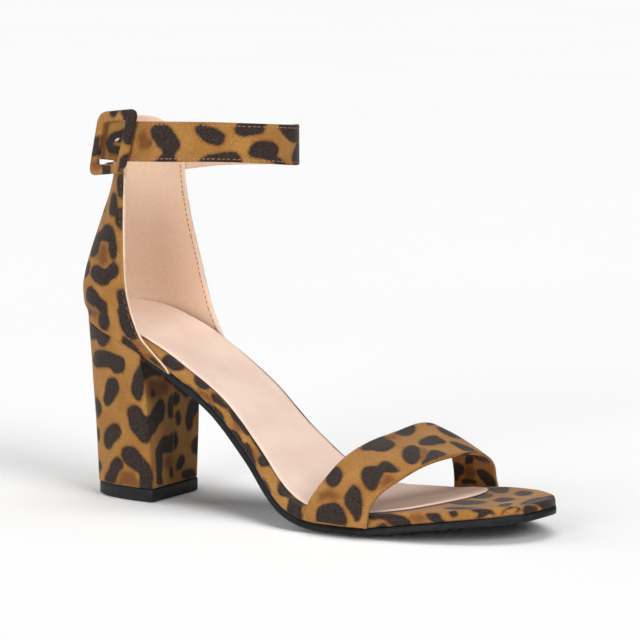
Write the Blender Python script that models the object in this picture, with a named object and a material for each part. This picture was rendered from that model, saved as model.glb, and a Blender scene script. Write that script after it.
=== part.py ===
# Block heel sandal for the right foot, in metres: +X to the toe, +Y to the big toe's side, +Z up
import math

import bmesh
import bpy
import numpy as np

MM = 0.001
# The rows below count x in mm from a line behind the heel, and the model's origin lies this far ahead of it
ORIGIN_X = 130.5

# Sole layers, measured square to the sole's underside
SEAM_GAP = 0.3
LAYER_GAP = 0.4
OUTSOLE_THICK = 2.6
OUTSOLE_SKIVED = 1.0
INSOLE_THICK = 0.9
EDGE_LIFT = 1.0
LIFT_FROM_X = 122.0
LIFT_RUN = 25.0
FLAT_SHARE = 0.55
TOE_LIFT_X = 222.0
TOE_LIFT_RUN = 18.0
UPRIGHT_TO_X = 30.0
UPRIGHT_RUN = 32.0
SKIVE_FROM_X = 60.0
SKIVE_RUN = 18.0
SEAT_RUN = 9.0

SOLE_RISE_COLUMNS = ("x", "rise")
SOLE_RISE_ROWS = (
    (18.0, 73.6),
    (28.0, 71.4),
    (36.0, 69.4),
    (44.0, 66.8),
    (52.0, 63.5),
    (58.0, 61.0),
    (65.0, 57.9),
    (72.0, 54.4),
    (80.0, 49.8),
    (88.0, 45.0),
    (96.0, 39.4),
    (103.0, 33.3),
    (110.0, 26.9),
    (118.0, 20.1),
    (126.0, 13.1),
    (134.0, 7.4),
    (142.0, 3.2),
    (149.0, 0.9),
    (157.0, 0.0),
    (175.0, 0.0),
    (186.0, 1.2),
    (200.0, 3.3),
    (215.0, 5.2),
    (230.0, 6.9),
    (242.0, 8.6),
)

# Height of the footbed's top above the underside
FOOTBED_COLUMNS = ("x", "top")
FOOTBED_ROWS = ((28.0, 6.6), (62.0, 7.1), (120.0, 6.9), (152.0, 7.8), (192.0, 8.1), (214.0, 7.1), (240.0, 6.5))

# Half widths of the sole from its centre line, lateral towards -Y
SOLE_OUTLINE_COLUMNS = ("x", "lateral", "medial")
SOLE_OUTLINE_ROWS = (
    (71.0, 24.7, 23.5),
    (82.0, 24.8, 22.6),
    (95.0, 24.3, 21.5),
    (110.0, 26.0, 21.3),
    (125.0, 31.4, 24.0),
    (140.0, 37.8, 29.4),
    (155.0, 38.9, 33.6),
    (170.0, 39.1, 36.2),
    (185.0, 37.5, 37.0),
    (200.0, 34.4, 35.4),
    (215.0, 28.4, 30.2),
    (225.0, 22.0, 23.2),
    (233.0, 13.4, 14.4),
)
TOE_TIP = (237.6, 1.2)
# The outsole ends at the top of the breast, which stands a little askew
BREAST_LATERAL = (64.5, -24.6)
BREAST_MEDIAL = (59.0, 24.2)

# The footbed goes on behind the breast, round the heel seat
SEAT_OUTLINE_COLUMNS = ("x", "lateral", "medial")
SEAT_OUTLINE_ROWS = (
    (28.3, 8.6, 8.6),
    (31.8, 14.8, 14.8),
    (37.6, 20.0, 20.0),
    (46.2, 23.4, 23.4),
    (58.0, 24.4, 24.3),
)
SEAT_BACK = (27.2, 0.0)

INSOLE_OUTLINE_COLUMNS = ("x", "lateral", "medial")
INSOLE_OUTLINE_ROWS = (
    (29.2, 7.6, 7.6),
    (32.1, 13.2, 13.4),
    (36.4, 17.6, 18.2),
    (41.6, 20.2, 21.0),
    (49.0, 21.6, 22.2),
    (59.0, 21.4, 21.6),
    (69.0, 21.0, 20.4),
    (82.0, 20.9, 18.9),
    (95.0, 20.4, 17.6),
    (110.0, 22.2, 17.5),
    (125.0, 27.2, 20.1),
    (140.0, 32.4, 25.1),
    (155.0, 34.6, 29.6),
    (170.0, 34.0, 32.4),
    (182.0, 29.4, 32.8),
    (190.5, 22.4, 30.6),
    (196.0, 13.0, 26.0),
)
INSOLE_TIP = (200.0, 10.0)
INSOLE_BACK = (27.9, 0.0)

# Edge profiles of the layers as (inset, share of the layer's height)
OUTSOLE_EDGE = ((0.9, 0.0), (0.15, 0.14), (0.0, 0.4), (0.05, 1.0))
FOOTBED_EDGE = ((0.5, 0.0), (0.05, 0.16), (0.0, 0.42), (0.25, 0.74), (1.0, 0.93), (2.6, 1.0))
INSOLE_EDGE = ((0.25, 0.0), (0.0, 0.4), (0.3, 0.85), (0.9, 1.0))
HEEL_CUP = 0.8
HEEL_CUP_FRONT = 95.0
HEEL_CUP_FADE = 40.0
HEEL_CUP_BACK = 30.0
HEEL_CUP_RISE = 12.0
HEEL_CUP_HALF = 19.0

# Heel seat: the seam between the counter and the heel, which stands above the footbed's underside at the sides
SEAM_COLUMNS = ("x", "z")
SEAM_ROWS = (
    (18.0, 74.4),
    (28.0, 72.9),
    (40.0, 70.2),
    (50.0, 67.2),
    (58.0, 64.0),
    (66.0, 60.2),
    (72.0, 57.4),
    (80.0, 53.4),
)
RIM_WALL = 1.4

# Block heel: plan sections from its foot (level 0) to the seat (level 1)
HEEL_COLUMNS = ("level", "back", "breast", "half_width", "askew")
HEEL_ROWS = (
    (0.0, 25.9, 61.1, 18.0, 1.6),
    (0.35, 25.5, 60.9, 20.0, 1.8),
    (0.7, 24.7, 60.5, 22.4, 2.4),
    (1.0, 25.0, 60.2, 26.6, 3.2),
)
HEEL_FOOT = 5.5
HEEL_SQUARENESS = 2.35
HEEL_CORNER = 1.6
HEEL_SIDE = 19
BREAST_LIP = 0.5
TIP_THICK = 5.2
TIP_FRONT_PROUD = 0.4
TIP_BACK_INSET = 0.5

# Counter: plan sections by height, with the front edge's x on each side
WALL = 1.8
COUNTER_COLUMNS = ("z", "back", "half_width", "bend", "lateral_front", "medial_front")
COUNTER_ROWS = (
    (52.0, 24.4, 27.1, 30.0, 80.0, 70.4),
    (57.0, 24.6, 27.1, 30.0, 76.0, 69.4),
    (62.0, 25.0, 27.0, 30.0, 70.2, 67.4),
    (68.0, 25.2, 26.9, 30.0, 63.8, 64.4),
    (75.0, 24.9, 26.8, 30.0, 60.2, 61.4),
    (79.5, 22.9, 26.8, 30.0, 58.6, 60.0),
    (85.5, 22.4, 26.8, 30.0, 57.0, 58.2),
    (92.0, 23.6, 26.7, 30.0, 56.2, 56.6),
    (101.0, 26.5, 26.2, 30.0, 55.5, 54.4),
    (114.0, 31.6, 25.2, 29.0, 54.4, 52.2),
    (128.0, 36.9, 24.4, 28.0, 53.3, 51.5),
    (142.0, 39.7, 24.0, 27.0, 52.7, 51.6),
    (156.0, 41.0, 24.0, 27.0, 52.8, 51.8),
)
COUNTER_SQUARENESS = 2.2
BOW_STEP = 0.3
COUNTER_TOP_COLUMNS = ("around", "top")
COUNTER_TOP_ROWS = ((-1.0, 153.4), (-0.4, 154.2), (0.0, 154.6), (0.4, 154.0), (1.0, 147.0))

# Ankle strap: the plan line of its inner face, with the height of its middle and its width there
STRAP_THICK = 1.7
# Columns: x, y, height of the middle, width
STRAP_ROWS = (
    (41.6, -19.9, 146.2, 16.0),
    (45.4, -21.8, 146.4, 16.0),
    (52.6, -24.6, 146.5, 16.0),
    (61.0, -26.6, 146.7, 16.0),
    (72.0, -27.8, 147.1, 15.9),
    (84.0, -27.6, 147.5, 15.8),
    (98.0, -24.6, 147.8, 15.6),
    (109.4, -17.4, 147.4, 15.5),
    (116.0, -6.5, 146.4, 15.8),
    (117.0, 4.0, 145.4, 16.0),
    (111.5, 13.5, 144.8, 16.0),
    (100.0, 20.8, 143.8, 16.0),
    (84.0, 24.9, 142.7, 16.0),
    (68.0, 25.2, 141.7, 16.0),
    (58.0, 23.9, 140.5, 16.0),
    (51.4, 22.2, 139.6, 16.0),
    (44.2, 17.6, 139.0, 16.0),
)
STRAP_HOLE_R = 1.4

# Toe strap: its back and front edges from the lateral side over to the medial side
TOE_STRAP_THICK = 1.7
# Columns: x, y and z of the back edge, then of the front edge
TOE_STRAP_ROWS = (
    (153.6, -41.5, 5.6, 181.4, -40.9, 4.6),
    (154.4, -41.3, 11.0, 181.8, -40.6, 9.6),
    (157.2, -39.0, 17.4, 183.0, -39.0, 14.6),
    (159.8, -34.4, 23.0, 186.0, -35.6, 19.4),
    (160.6, -27.4, 27.2, 190.0, -30.0, 23.6),
    (161.4, -18.0, 30.6, 193.2, -20.6, 27.4),
    (162.8, -5.0, 33.3, 195.4, -8.4, 29.2),
    (164.8, 8.0, 35.0, 196.2, 4.6, 29.2),
    (167.2, 19.2, 36.6, 196.4, 15.6, 28.0),
    (169.8, 28.2, 34.5, 196.2, 24.4, 24.7),
    (171.4, 34.4, 27.5, 195.1, 31.0, 20.0),
    (172.0, 37.6, 18.2, 193.2, 35.4, 14.4),
    (171.6, 38.9, 10.8, 192.2, 38.6, 9.8),
    (171.0, 39.0, 4.6, 191.4, 39.5, 5.6),
)
TOE_STRAP_BULGE = 0.8

# Buckle: its middle, the turn of its face from -Y to the back, and the lean of its top towards the toe
BUCKLE_AT = (52.9, -27.9, 146.0)
BUCKLE_TURN = math.radians(13.0)
BUCKLE_LEAN = math.radians(17.5)
BUCKLE_LENGTH = 23.3
BUCKLE_HEIGHT = 27.3
BUCKLE_BAR = 4.5
BUCKLE_THICK = 2.6
BUCKLE_CORNER = 4.4
WINDOW_CORNER = 1.6
BUCKLE_BEND = 0.005
# How much of its lean each bar along the strap follows
BUCKLE_SKEW = 0.35

# Prong: a bent rod in the buckle's plane, which comes from a pivot bar behind the strap and up through the hole
PRONG_R = 0.75
PRONG_TIP_R = 0.5
# Columns: length, height, depth
PRONG_ROWS = (
    (-3.1, -0.2, -5.0),
    (-0.7, 0.0, -5.0),
    (0.8, 0.1, -4.3),
    (1.3, 0.2, -2.6),
    (1.9, 0.3, -0.6),
    (3.6, 0.6, 1.7),
    (5.6, 1.0, 3.2),
    (7.6, 1.4, 3.8),
)
PIVOT_LENGTH = -3.0
PIVOT_REACH = 9.7
PIVOT_MIDDLE = 0.4
PIVOT_DEPTH = -5.0
PIVOT_CORNER = 1.2
ROD_SIDES = 10
ROD_REFERENCE = (1.0, 0.1, 0.05)

COLOURS = {
    "leopard_cloth": (0.42, 0.23, 0.075),
    "insole_sheet": (0.76, 0.58, 0.48),
    "rubber": (0.012, 0.012, 0.013),
    "metal": (0.72, 0.71, 0.70),
}
ROUGHNESS = {"leopard_cloth": 0.92, "insole_sheet": 0.42, "rubber": 0.5, "metal": 0.22}
METALLIC = {"metal": 1.0}


def column(columns, rows, name):
    return np.array([row[columns.index(name)] for row in rows], float)


def smooth_table(at, values):
    """A curve through the rows that never overshoots between them."""
    at, values = np.asarray(at, float), np.asarray(values, float)
    step = np.diff(at)
    grade = np.diff(values) / step
    slope = np.zeros(len(at))
    slope[0], slope[-1] = grade[0], grade[-1]
    for i in range(1, len(at) - 1):
        if grade[i - 1] * grade[i] > 0:
            before, after = 2 * step[i] + step[i - 1], step[i] + 2 * step[i - 1]
            slope[i] = (before + after) / (before / grade[i - 1] + after / grade[i])

    def value(x):
        x = np.clip(np.asarray(x, float), at[0], at[-1])
        i = np.clip(np.searchsorted(at, x, side="right") - 1, 0, len(at) - 2)
        width = at[i + 1] - at[i]
        t = (x - at[i]) / width
        low = values[i] * (1 + 2 * t) * (1 - t) ** 2 + slope[i] * width * t * (1 - t) ** 2
        high = values[i + 1] * t * t * (3 - 2 * t) + slope[i + 1] * width * t * t * (t - 1)
        return low + high

    return value


def spline(points, count):
    """Points spaced evenly along a natural cubic through the given ones."""
    points = np.asarray(points, float)
    knot = np.concatenate([[0], np.cumsum(np.linalg.norm(np.diff(points, axis=0), axis=1) ** 0.5)])
    fine = spline_at(points, knot, np.linspace(0, knot[-1], 40 * len(points)))
    return even(fine, count)


def spline_at(points, knot, at):
    size = len(knot)
    step = np.diff(knot)[:, None]
    grade = np.diff(points, axis=0) / step
    matrix = np.eye(size)
    right = np.zeros_like(points)
    for i in range(1, size - 1):
        matrix[i, i - 1 : i + 2] = step[i - 1, 0], 2 * (step[i - 1, 0] + step[i, 0]), step[i, 0]
        right[i] = 6 * (grade[i] - grade[i - 1])
    bend = np.linalg.solve(matrix, right)
    i = np.clip(np.searchsorted(knot, at, side="right") - 1, 0, size - 2)
    width = step[i]
    t = ((at - knot[i])[:, None]) / width
    line = points[i] * (1 - t) + points[i + 1] * t
    return line + width**2 / 6 * (((1 - t) ** 3 - (1 - t)) * bend[i] + (t**3 - t) * bend[i + 1])


def even(line, count):
    """The polyline resampled to count points, evenly by length."""
    line = np.asarray(line, float)
    run = np.concatenate([[0], np.cumsum(np.linalg.norm(np.diff(line, axis=0), axis=1))])
    at = np.linspace(0, run[-1], count)
    return np.stack([np.interp(at, run, line[:, k]) for k in range(line.shape[1])], axis=1)


def ease(t):
    t = np.clip(t, 0, 1)
    return t * t * (3 - 2 * t)


sole_rise = smooth_table(
    column(SOLE_RISE_COLUMNS, SOLE_RISE_ROWS, "x"), column(SOLE_RISE_COLUMNS, SOLE_RISE_ROWS, "rise")
)


def table_curve(columns, rows, at, name):
    return smooth_table(column(columns, rows, at), column(columns, rows, name))


seam_height = table_curve(SEAM_COLUMNS, SEAM_ROWS, "x", "z")
sole_lateral = table_curve(SOLE_OUTLINE_COLUMNS, SOLE_OUTLINE_ROWS, "x", "lateral")
sole_medial = table_curve(SOLE_OUTLINE_COLUMNS, SOLE_OUTLINE_ROWS, "x", "medial")
footbed_top = table_curve(FOOTBED_COLUMNS, FOOTBED_ROWS, "x", "top")


def underside(x, y):
    """Height of the sole's underside, whose edge lifts a little round the forefoot."""
    side = np.where(y > 0, y / sole_medial(x), -y / sole_lateral(x))
    side = np.clip(np.maximum(side, ease((x - TOE_LIFT_X) / TOE_LIFT_RUN)), 0, 1)
    lift = EDGE_LIFT * ease((x - LIFT_FROM_X) / LIFT_RUN)
    return sole_rise(x) + lift * np.clip((side - FLAT_SHARE) / (1 - FLAT_SHARE), 0, 1) ** 2


def above_sole(x, y, height):
    """The point this high above the underside: square to it, but straight up at the back of the heel seat."""
    slope = sole_rise(x + 0.5) - sole_rise(x - 0.5)
    long = np.sqrt(1 + slope * slope)
    ahead = -slope / long * height * ease((x - UPRIGHT_TO_X) / UPRIGHT_RUN)
    return np.stack([x + ahead, y, underside(x, y) + height / long], axis=-1)


def outsole_thick(x):
    return OUTSOLE_SKIVED + (OUTSOLE_THICK - OUTSOLE_SKIVED) * ease((x - SKIVE_FROM_X) / SKIVE_RUN)


def footbed_base(x):
    """Height of the footbed's underside: on the heel at the seat, and on the outsole ahead of it."""
    return LAYER_GAP + outsole_thick(x) * ease((x - SKIVE_FROM_X + SEAT_RUN) / SEAT_RUN)


def outline(columns, rows, tip, count, back=None, ends=None):
    """Lateral and medial edge points in pairs, from the back of the piece (or its two ends there) to its toe."""
    x = column(columns, rows, "x")
    lateral = np.stack([x, -column(columns, rows, "lateral")], axis=1)
    medial = np.stack([x, column(columns, rows, "medial")], axis=1)
    if back:
        # The curve runs on a few points past the back, so that it is smooth there
        around = np.concatenate([medial[2::-1], [back], lateral, [tip], medial[::-1], [back], lateral[:3]])
        first = 3
        middle = first + 1 + len(lateral)
    else:
        around = np.concatenate([ends[:1], lateral, [tip], medial[::-1], ends[1:]])
        first = 0
        middle = 1 + len(lateral)
    last = len(around) - 1 - first
    knot = np.concatenate([[0], np.cumsum(np.linalg.norm(np.diff(around, axis=0), axis=1) ** 0.5)])
    left = spline_at(around, knot, np.linspace(knot[first], knot[middle], 600))
    right = spline_at(around, knot, np.linspace(knot[last], knot[middle], 600))
    return bunched(left, count), bunched(right, count)


def bunched(line, count):
    """As even(), with the points closer together towards the tip."""
    run = np.concatenate([[0], np.cumsum(np.linalg.norm(np.diff(line, axis=0), axis=1))])
    share = np.linspace(0, 1, count)
    at = run[-1] * (0.72 * share + 0.28 * np.sin(share * math.pi / 2))
    return np.stack([np.interp(at, run, line[:, k]) for k in range(2)], axis=1)


def inset_pair(left, right, inset):
    """The paired outline moved inwards by inset."""
    closed_back = np.allclose(left[0], right[0])
    loop = np.concatenate([left, right[-2::-1]])
    if closed_back:
        loop = loop[:-1]
    ahead, behind = np.roll(loop, -1, axis=0), np.roll(loop, 1, axis=0)
    along = ahead - behind
    if not closed_back:
        along[0] = loop[1] - loop[0]
        along[-1] = loop[-1] - loop[-2]
    along /= np.linalg.norm(along, axis=1)[:, None]
    inwards = np.stack([-along[:, 1], along[:, 0]], axis=1)
    moved = loop + inwards * inset
    new_left = moved[: len(left)]
    tail = moved[len(left) - 1 :]
    new_right = np.concatenate([tail, moved[:1]])[::-1] if closed_back else tail[::-1]
    return new_left, new_right


def slab(name, pair, edge, low, high, columns, dish=None):
    """A layer of the sole between two heights above the underside, with the given edge profile."""
    left, right = pair
    rungs = np.linspace(-1, 1, columns)
    points, faces = [], []

    def ladder(inset, share):
        a, b = inset_pair(left, right, inset)
        rows = []
        for rung in rungs:
            plan = a * (1 - rung) / 2 + b * (1 + rung) / 2
            lower, upper = low(plan[:, 0]), high(plan[:, 0])
            height = lower + (upper - lower) * share
            if dish is not None:
                height = height - dish(plan[:, 0], plan[:, 1], share)
            rows.append(above_sole(plan[:, 0], plan[:, 1], height))
        return np.stack(rows, axis=1)

    def ring(grid):
        start = grid[0, 1:-1][::-1]
        return np.concatenate([grid[:, 0], grid[:-1, -1][::-1], start])

    grids = [ladder(inset, share) for inset, share in edge]
    for grid, flip in ((grids[0], True), (grids[-1], False)):
        first = sum(len(block) for block in points)
        points.append(grid.reshape(-1, 3))
        faces += grid_faces(first, grid.shape[0], grid.shape[1], flip)
    rings = [ring(grid) for grid in grids]
    for low_ring, high_ring in zip(rings[:-1], rings[1:], strict=True):
        first = sum(len(block) for block in points)
        points += [low_ring, high_ring]
        size = len(low_ring)
        faces += [
            (first + i, first + (i + 1) % size, first + size + (i + 1) % size, first + size + i)
            for i in range(size)
        ]
    return solid(name, np.concatenate(points), faces)


def grid_faces(first, rows, columns, flip=False):
    faces = []
    for i in range(rows - 1):
        for j in range(columns - 1):
            a = first + i * columns + j
            face = (a, a + 1, a + columns + 1, a + columns)
            faces.append(face[::-1] if flip else face)
    return faces


def solid(name, points, faces):
    """A mesh object from points in mm, its doubled points merged and its faces turned outwards."""
    moved = (np.asarray(points, float) - (ORIGIN_X, 0, 0)) * MM
    mesh = bpy.data.meshes.new(name)
    mesh.from_pydata([tuple(p) for p in moved], [], faces)
    tidy(mesh)
    piece = bpy.data.objects.new(name, mesh)
    SANDAL.objects.link(piece)
    return piece


def tidy(mesh):
    work = bmesh.new()
    work.from_mesh(mesh)
    bmesh.ops.remove_doubles(work, verts=work.verts, dist=2e-6)
    bmesh.ops.dissolve_degenerate(work, edges=work.edges, dist=1e-7)
    bmesh.ops.recalc_face_normals(work, faces=work.faces)
    work.to_mesh(mesh)
    work.free()
    for polygon in mesh.polygons:
        polygon.use_smooth = True


def loft(name, rings):
    """A closed solid through rings of equal size, with flat fans at both ends."""
    size = len(rings[0])
    points = np.concatenate(rings)
    faces = []
    for level in range(len(rings) - 1):
        for i in range(size):
            a, b = level * size + i, level * size + (i + 1) % size
            faces.append((a, b, b + size, a + size))
    faces.append(tuple(range(size))[::-1])
    faces.append(tuple(range(size * (len(rings) - 1), size * len(rings))))
    return solid(name, points, faces)


def thicken(name, grid, thick, inwards):
    """A sheet of real thickness: its outer face is the grid, and inwards points to the side of its inner face."""
    rows, columns, _ = grid.shape
    along = np.gradient(grid, axis=0)
    across = np.gradient(grid, axis=1)
    normal = np.cross(along, across)
    normal /= np.linalg.norm(normal, axis=2)[:, :, None]
    if np.sum(normal * (inwards - grid)) < 0:
        normal = -normal
    inner = grid + normal * thick
    points = np.concatenate([grid.reshape(-1, 3), inner.reshape(-1, 3)])
    other = rows * columns
    faces = grid_faces(0, rows, columns) + grid_faces(other, rows, columns, True)
    border = [i * columns for i in range(rows)]
    border += [(rows - 1) * columns + j for j in range(1, columns)]
    border += [i * columns + columns - 1 for i in range(rows - 2, -1, -1)]
    border += list(range(columns - 2, 0, -1))
    for a, b in zip(border, border[1:] + border[:1], strict=True):
        faces.append((a, b, b + other, a + other))
    return solid(name, points, faces)


def paint(piece, slot):
    material = bpy.data.materials.get(slot)
    if material is None:
        material = bpy.data.materials.new(slot)
        material.use_nodes = True
        shader = material.node_tree.nodes["Principled BSDF"]
        shader.inputs["Base Color"].default_value = (*COLOURS[slot], 1.0)
        shader.inputs["Roughness"].default_value = ROUGHNESS[slot]
        shader.inputs["Metallic"].default_value = METALLIC.get(slot, 0.0)
        material.diffuse_color = (*COLOURS[slot], 1.0)
    piece.data.materials.append(material)


def bow(back, front, half_width, squareness, bend, count):
    """Half of a plan section: from the middle of its back to its front edge, on the side of +Y."""
    turn = np.linspace(0, math.pi / 2, 160)
    x = back + bend * (1 - np.cos(turn) ** (2 / squareness))
    y = half_width * np.sin(turn) ** (2 / squareness)
    end = (front, np.interp(front, x, y))
    line = np.stack([x, y], axis=1)[x < front - BOW_STEP]
    return even(np.concatenate([line, [end]]), count)


def make_sole():
    breast = (BREAST_LATERAL, BREAST_MEDIAL)
    sole_pair = outline(SOLE_OUTLINE_COLUMNS, SOLE_OUTLINE_ROWS, TOE_TIP, 44, ends=breast)
    outsole = slab("outsole", sole_pair, OUTSOLE_EDGE, lambda x: 0 * x, outsole_thick, 7)
    paint(outsole, "rubber")

    whole = SEAT_OUTLINE_ROWS + SOLE_OUTLINE_ROWS
    bed_pair = outline(SOLE_OUTLINE_COLUMNS, whole, TOE_TIP, 52, SEAT_BACK)
    footbed = slab("footbed", bed_pair, FOOTBED_EDGE, footbed_base, footbed_top, 7, heel_dish)
    paint(footbed, "leopard_cloth")

    sock_pair = outline(INSOLE_OUTLINE_COLUMNS, INSOLE_OUTLINE_ROWS, INSOLE_TIP, 44, INSOLE_BACK)
    insole = slab(
        "insole",
        sock_pair,
        INSOLE_EDGE,
        lambda x: footbed_top(x) + SEAM_GAP,
        lambda x: footbed_top(x) + SEAM_GAP + INSOLE_THICK,
        7,
        lambda x, y, share: heel_dish(x, y, 1.0),
    )
    paint(insole, "insole_sheet")


def heel_dish(x, y, share):
    """How far the heel seat is cupped at this point of a layer's top."""
    along = ease((HEEL_CUP_FRONT - x) / HEEL_CUP_FADE) * ease((x - HEEL_CUP_BACK) / HEEL_CUP_RISE)
    across = 1 - np.clip(np.abs(y) / HEEL_CUP_HALF, 0, 1) ** 2.5
    return HEEL_CUP * along * across * (share > 0.99)


def make_heel():
    back, breast, half_width, askew = (
        table_curve(HEEL_COLUMNS, HEEL_ROWS, "level", name)
        for name in ("back", "breast", "half_width", "askew")
    )
    rings = []
    for share in np.linspace(0, 1, 10):
        plan = heel_plan(back(share), breast(share), half_width(share), askew(share))
        top = heel_rim(plan, half_width(share))
        z = HEEL_FOOT + (top - HEEL_FOOT) * share
        rings.append(np.column_stack([plan, z]))
    wall, front = RIM_WALL, BREAST_LIP
    cup = heel_plan(back(1) + wall, breast(1) - front, half_width(1) - wall, askew(1))
    rings.append(np.column_stack([cup, heel_rim(cup, half_width(1))]))
    wall, front = RIM_WALL + 0.3, BREAST_LIP + 0.3
    floor = heel_plan(back(1) + wall, breast(1) - front, half_width(1) - wall, askew(1))
    rings.append(np.column_stack([floor, sole_rise(floor[:, 0])]))
    paint(loft("heel_block", rings), "leopard_cloth")

    rings = []
    foot = TIP_THICK
    for z, grow in ((0.0, -0.5), (0.5, 0.0), (foot - 0.3, 0.0), (foot, -0.2)):
        plan = heel_plan(
            back(0) + TIP_BACK_INSET - grow, breast(0) + TIP_FRONT_PROUD + grow, half_width(0) + grow, askew(0)
        )
        rings.append(np.column_stack([plan, np.full(len(plan), z)]))
    paint(loft("heel_top_piece", rings), "rubber")


def heel_rim(plan, half_width):
    """Height of the heel's top round a plan section: at the counter's seam, but at the sole across the breast."""
    side = ease((np.abs(plan[:, 1]) - half_width + HEEL_CORNER) / HEEL_CORNER)
    side = np.where(np.arange(len(plan)) % (len(plan) - HEEL_SIDE + 1) < HEEL_SIDE, 1.0, side)
    seat = sole_rise(plan[:, 0])
    return seat + (seam_height(plan[:, 0]) - SEAM_GAP / 2 - seat) * side


def heel_plan(back, breast, half_width, askew):
    """The closed plan section of the heel: a curved back and a flat breast, whose lateral corner leads."""
    reach = breast - HEEL_CORNER - back
    side = bow(back, breast - HEEL_CORNER, half_width, HEEL_SQUARENESS, reach, HEEL_SIDE)
    turn = np.linspace(0, math.pi / 2, 4)[1:]
    corner = np.stack(
        [
            breast - HEEL_CORNER + HEEL_CORNER * np.sin(turn),
            half_width - HEEL_CORNER + HEEL_CORNER * np.cos(turn),
        ],
        axis=1,
    )
    face = np.array([(breast, (half_width - HEEL_CORNER) / 2), (breast, 0.0)])
    half = np.concatenate([side, corner, face])
    plan = np.concatenate([half, half[-2:0:-1] * (1, -1)])
    plan[:, 0] -= askew * plan[:, 1] / half_width * ease((plan[:, 0] - back) / (breast - back))
    return plan


def counter_point(around, z):
    """Outer face of the counter: around runs from -1 at the lateral front edge to 1 at the medial one."""
    at = column(COUNTER_COLUMNS, COUNTER_ROWS, "z")
    edge = "medial_front" if around > 0 else "lateral_front"
    back, half_width, bend, front = (
        float(smooth_table(at, column(COUNTER_COLUMNS, COUNTER_ROWS, name))(z))
        for name in ("back", "half_width", "bend", edge)
    )
    line = bow(back, front, half_width, COUNTER_SQUARENESS, bend, 60)
    place = abs(around) * 59
    x = np.interp(place, np.arange(60), line[:, 0])
    y = np.interp(place, np.arange(60), line[:, 1])
    return x, math.copysign(y, around)


def make_counter():
    top = smooth_table(
        column(COUNTER_TOP_COLUMNS, COUNTER_TOP_ROWS, "around"),
        column(COUNTER_TOP_COLUMNS, COUNTER_TOP_ROWS, "top"),
    )
    grid = []
    for around in np.linspace(-1, 1, 35):
        low = 66.0
        for _ in range(30):
            x, y = counter_point(around, low)
            low = 0.5 * low + 0.5 * float(seam_height(x) + SEAM_GAP / 2)
        heights = low + (float(top(around)) - low) * np.linspace(0, 1, 15)
        grid.append([(*counter_point(around, z), z) for z in heights])
    counter = thicken("heel_counter", np.array(grid), WALL, np.array((60.0, 0.0, 110.0)))
    paint(counter, "leopard_cloth")


def strap_grid():
    """Outer face of the ankle strap as rows from its tail, and the inner side's direction."""
    rows = np.array(STRAP_ROWS, float)
    line = spline(rows, 49)
    along = np.gradient(line[:, :2], axis=0)
    along /= np.linalg.norm(along, axis=1)[:, None]
    outwards = np.stack([along[:, 1], -along[:, 0]], axis=1)
    outer = line[:, :2] + outwards * STRAP_THICK
    levels = np.linspace(-0.5, 0.5, 5)
    return np.stack([np.column_stack([outer, line[:, 2] + level * line[:, 3]]) for level in levels], axis=1)


def make_strap():
    grid = strap_grid()
    strap = thicken("ankle_strap", grid, STRAP_THICK, np.array((80.0, 0.0, 146.0)))
    paint(strap, "leopard_cloth")


def make_toe_strap():
    rows = np.array(TOE_STRAP_ROWS, float)
    back, front = spline(rows[:, :3], 33), spline(rows[:, 3:], 33)
    middle = np.array((175.0, 0.0, 0.0))
    grid = []
    for share in np.linspace(0, 1, 6):
        line = back * (1 - share) + front * share
        out = line - middle
        out[:, 0] = 0
        out /= np.linalg.norm(out, axis=1)[:, None]
        grid.append(line + out * TOE_STRAP_BULGE * math.sin(math.pi * share))
    strap = thicken("toe_strap", np.stack(grid, axis=1), TOE_STRAP_THICK, middle)
    paint(strap, "leopard_cloth")


def buckle_place(points):
    """From the buckle's own plane (length, height, depth outwards) to the shoe."""
    points = np.asarray(points, float)
    length, height, depth = points[:, 0], points[:, 1], points[:, 2]
    along = length * math.cos(BUCKLE_LEAN) + height * math.sin(BUCKLE_LEAN)
    up = length * math.sin(BUCKLE_LEAN) * BUCKLE_SKEW + height * math.cos(BUCKLE_LEAN)
    depth = depth - BUCKLE_BEND * along * along
    x = BUCKLE_AT[0] + along * math.cos(BUCKLE_TURN) - depth * math.sin(BUCKLE_TURN)
    y = BUCKLE_AT[1] - along * math.sin(BUCKLE_TURN) - depth * math.cos(BUCKLE_TURN)
    return np.stack([x, y, BUCKLE_AT[2] + up], axis=1)


def rounded_box(length, height, corner, per_corner):
    """A rounded rectangle in the buckle's plane, with the same number of points for any size."""
    line = []
    centres = ((1, 1, 0.0), (-1, 1, 0.5), (-1, -1, 1.0), (1, -1, 1.5))
    for sx, sy, start in centres:
        cx, cy = sx * (length / 2 - corner), sy * (height / 2 - corner)
        for turn in np.linspace(start * math.pi, (start + 0.5) * math.pi, per_corner):
            line.append((cx + corner * math.cos(turn), cy + corner * math.sin(turn)))
        next_side = (sx, sy)
        if next_side in ((1, 1), (-1, -1)):
            line.append((0.0, cy + corner * sy))
        else:
            line.append((cx + corner * sx, 0.0))
    return np.array(line)


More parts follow.
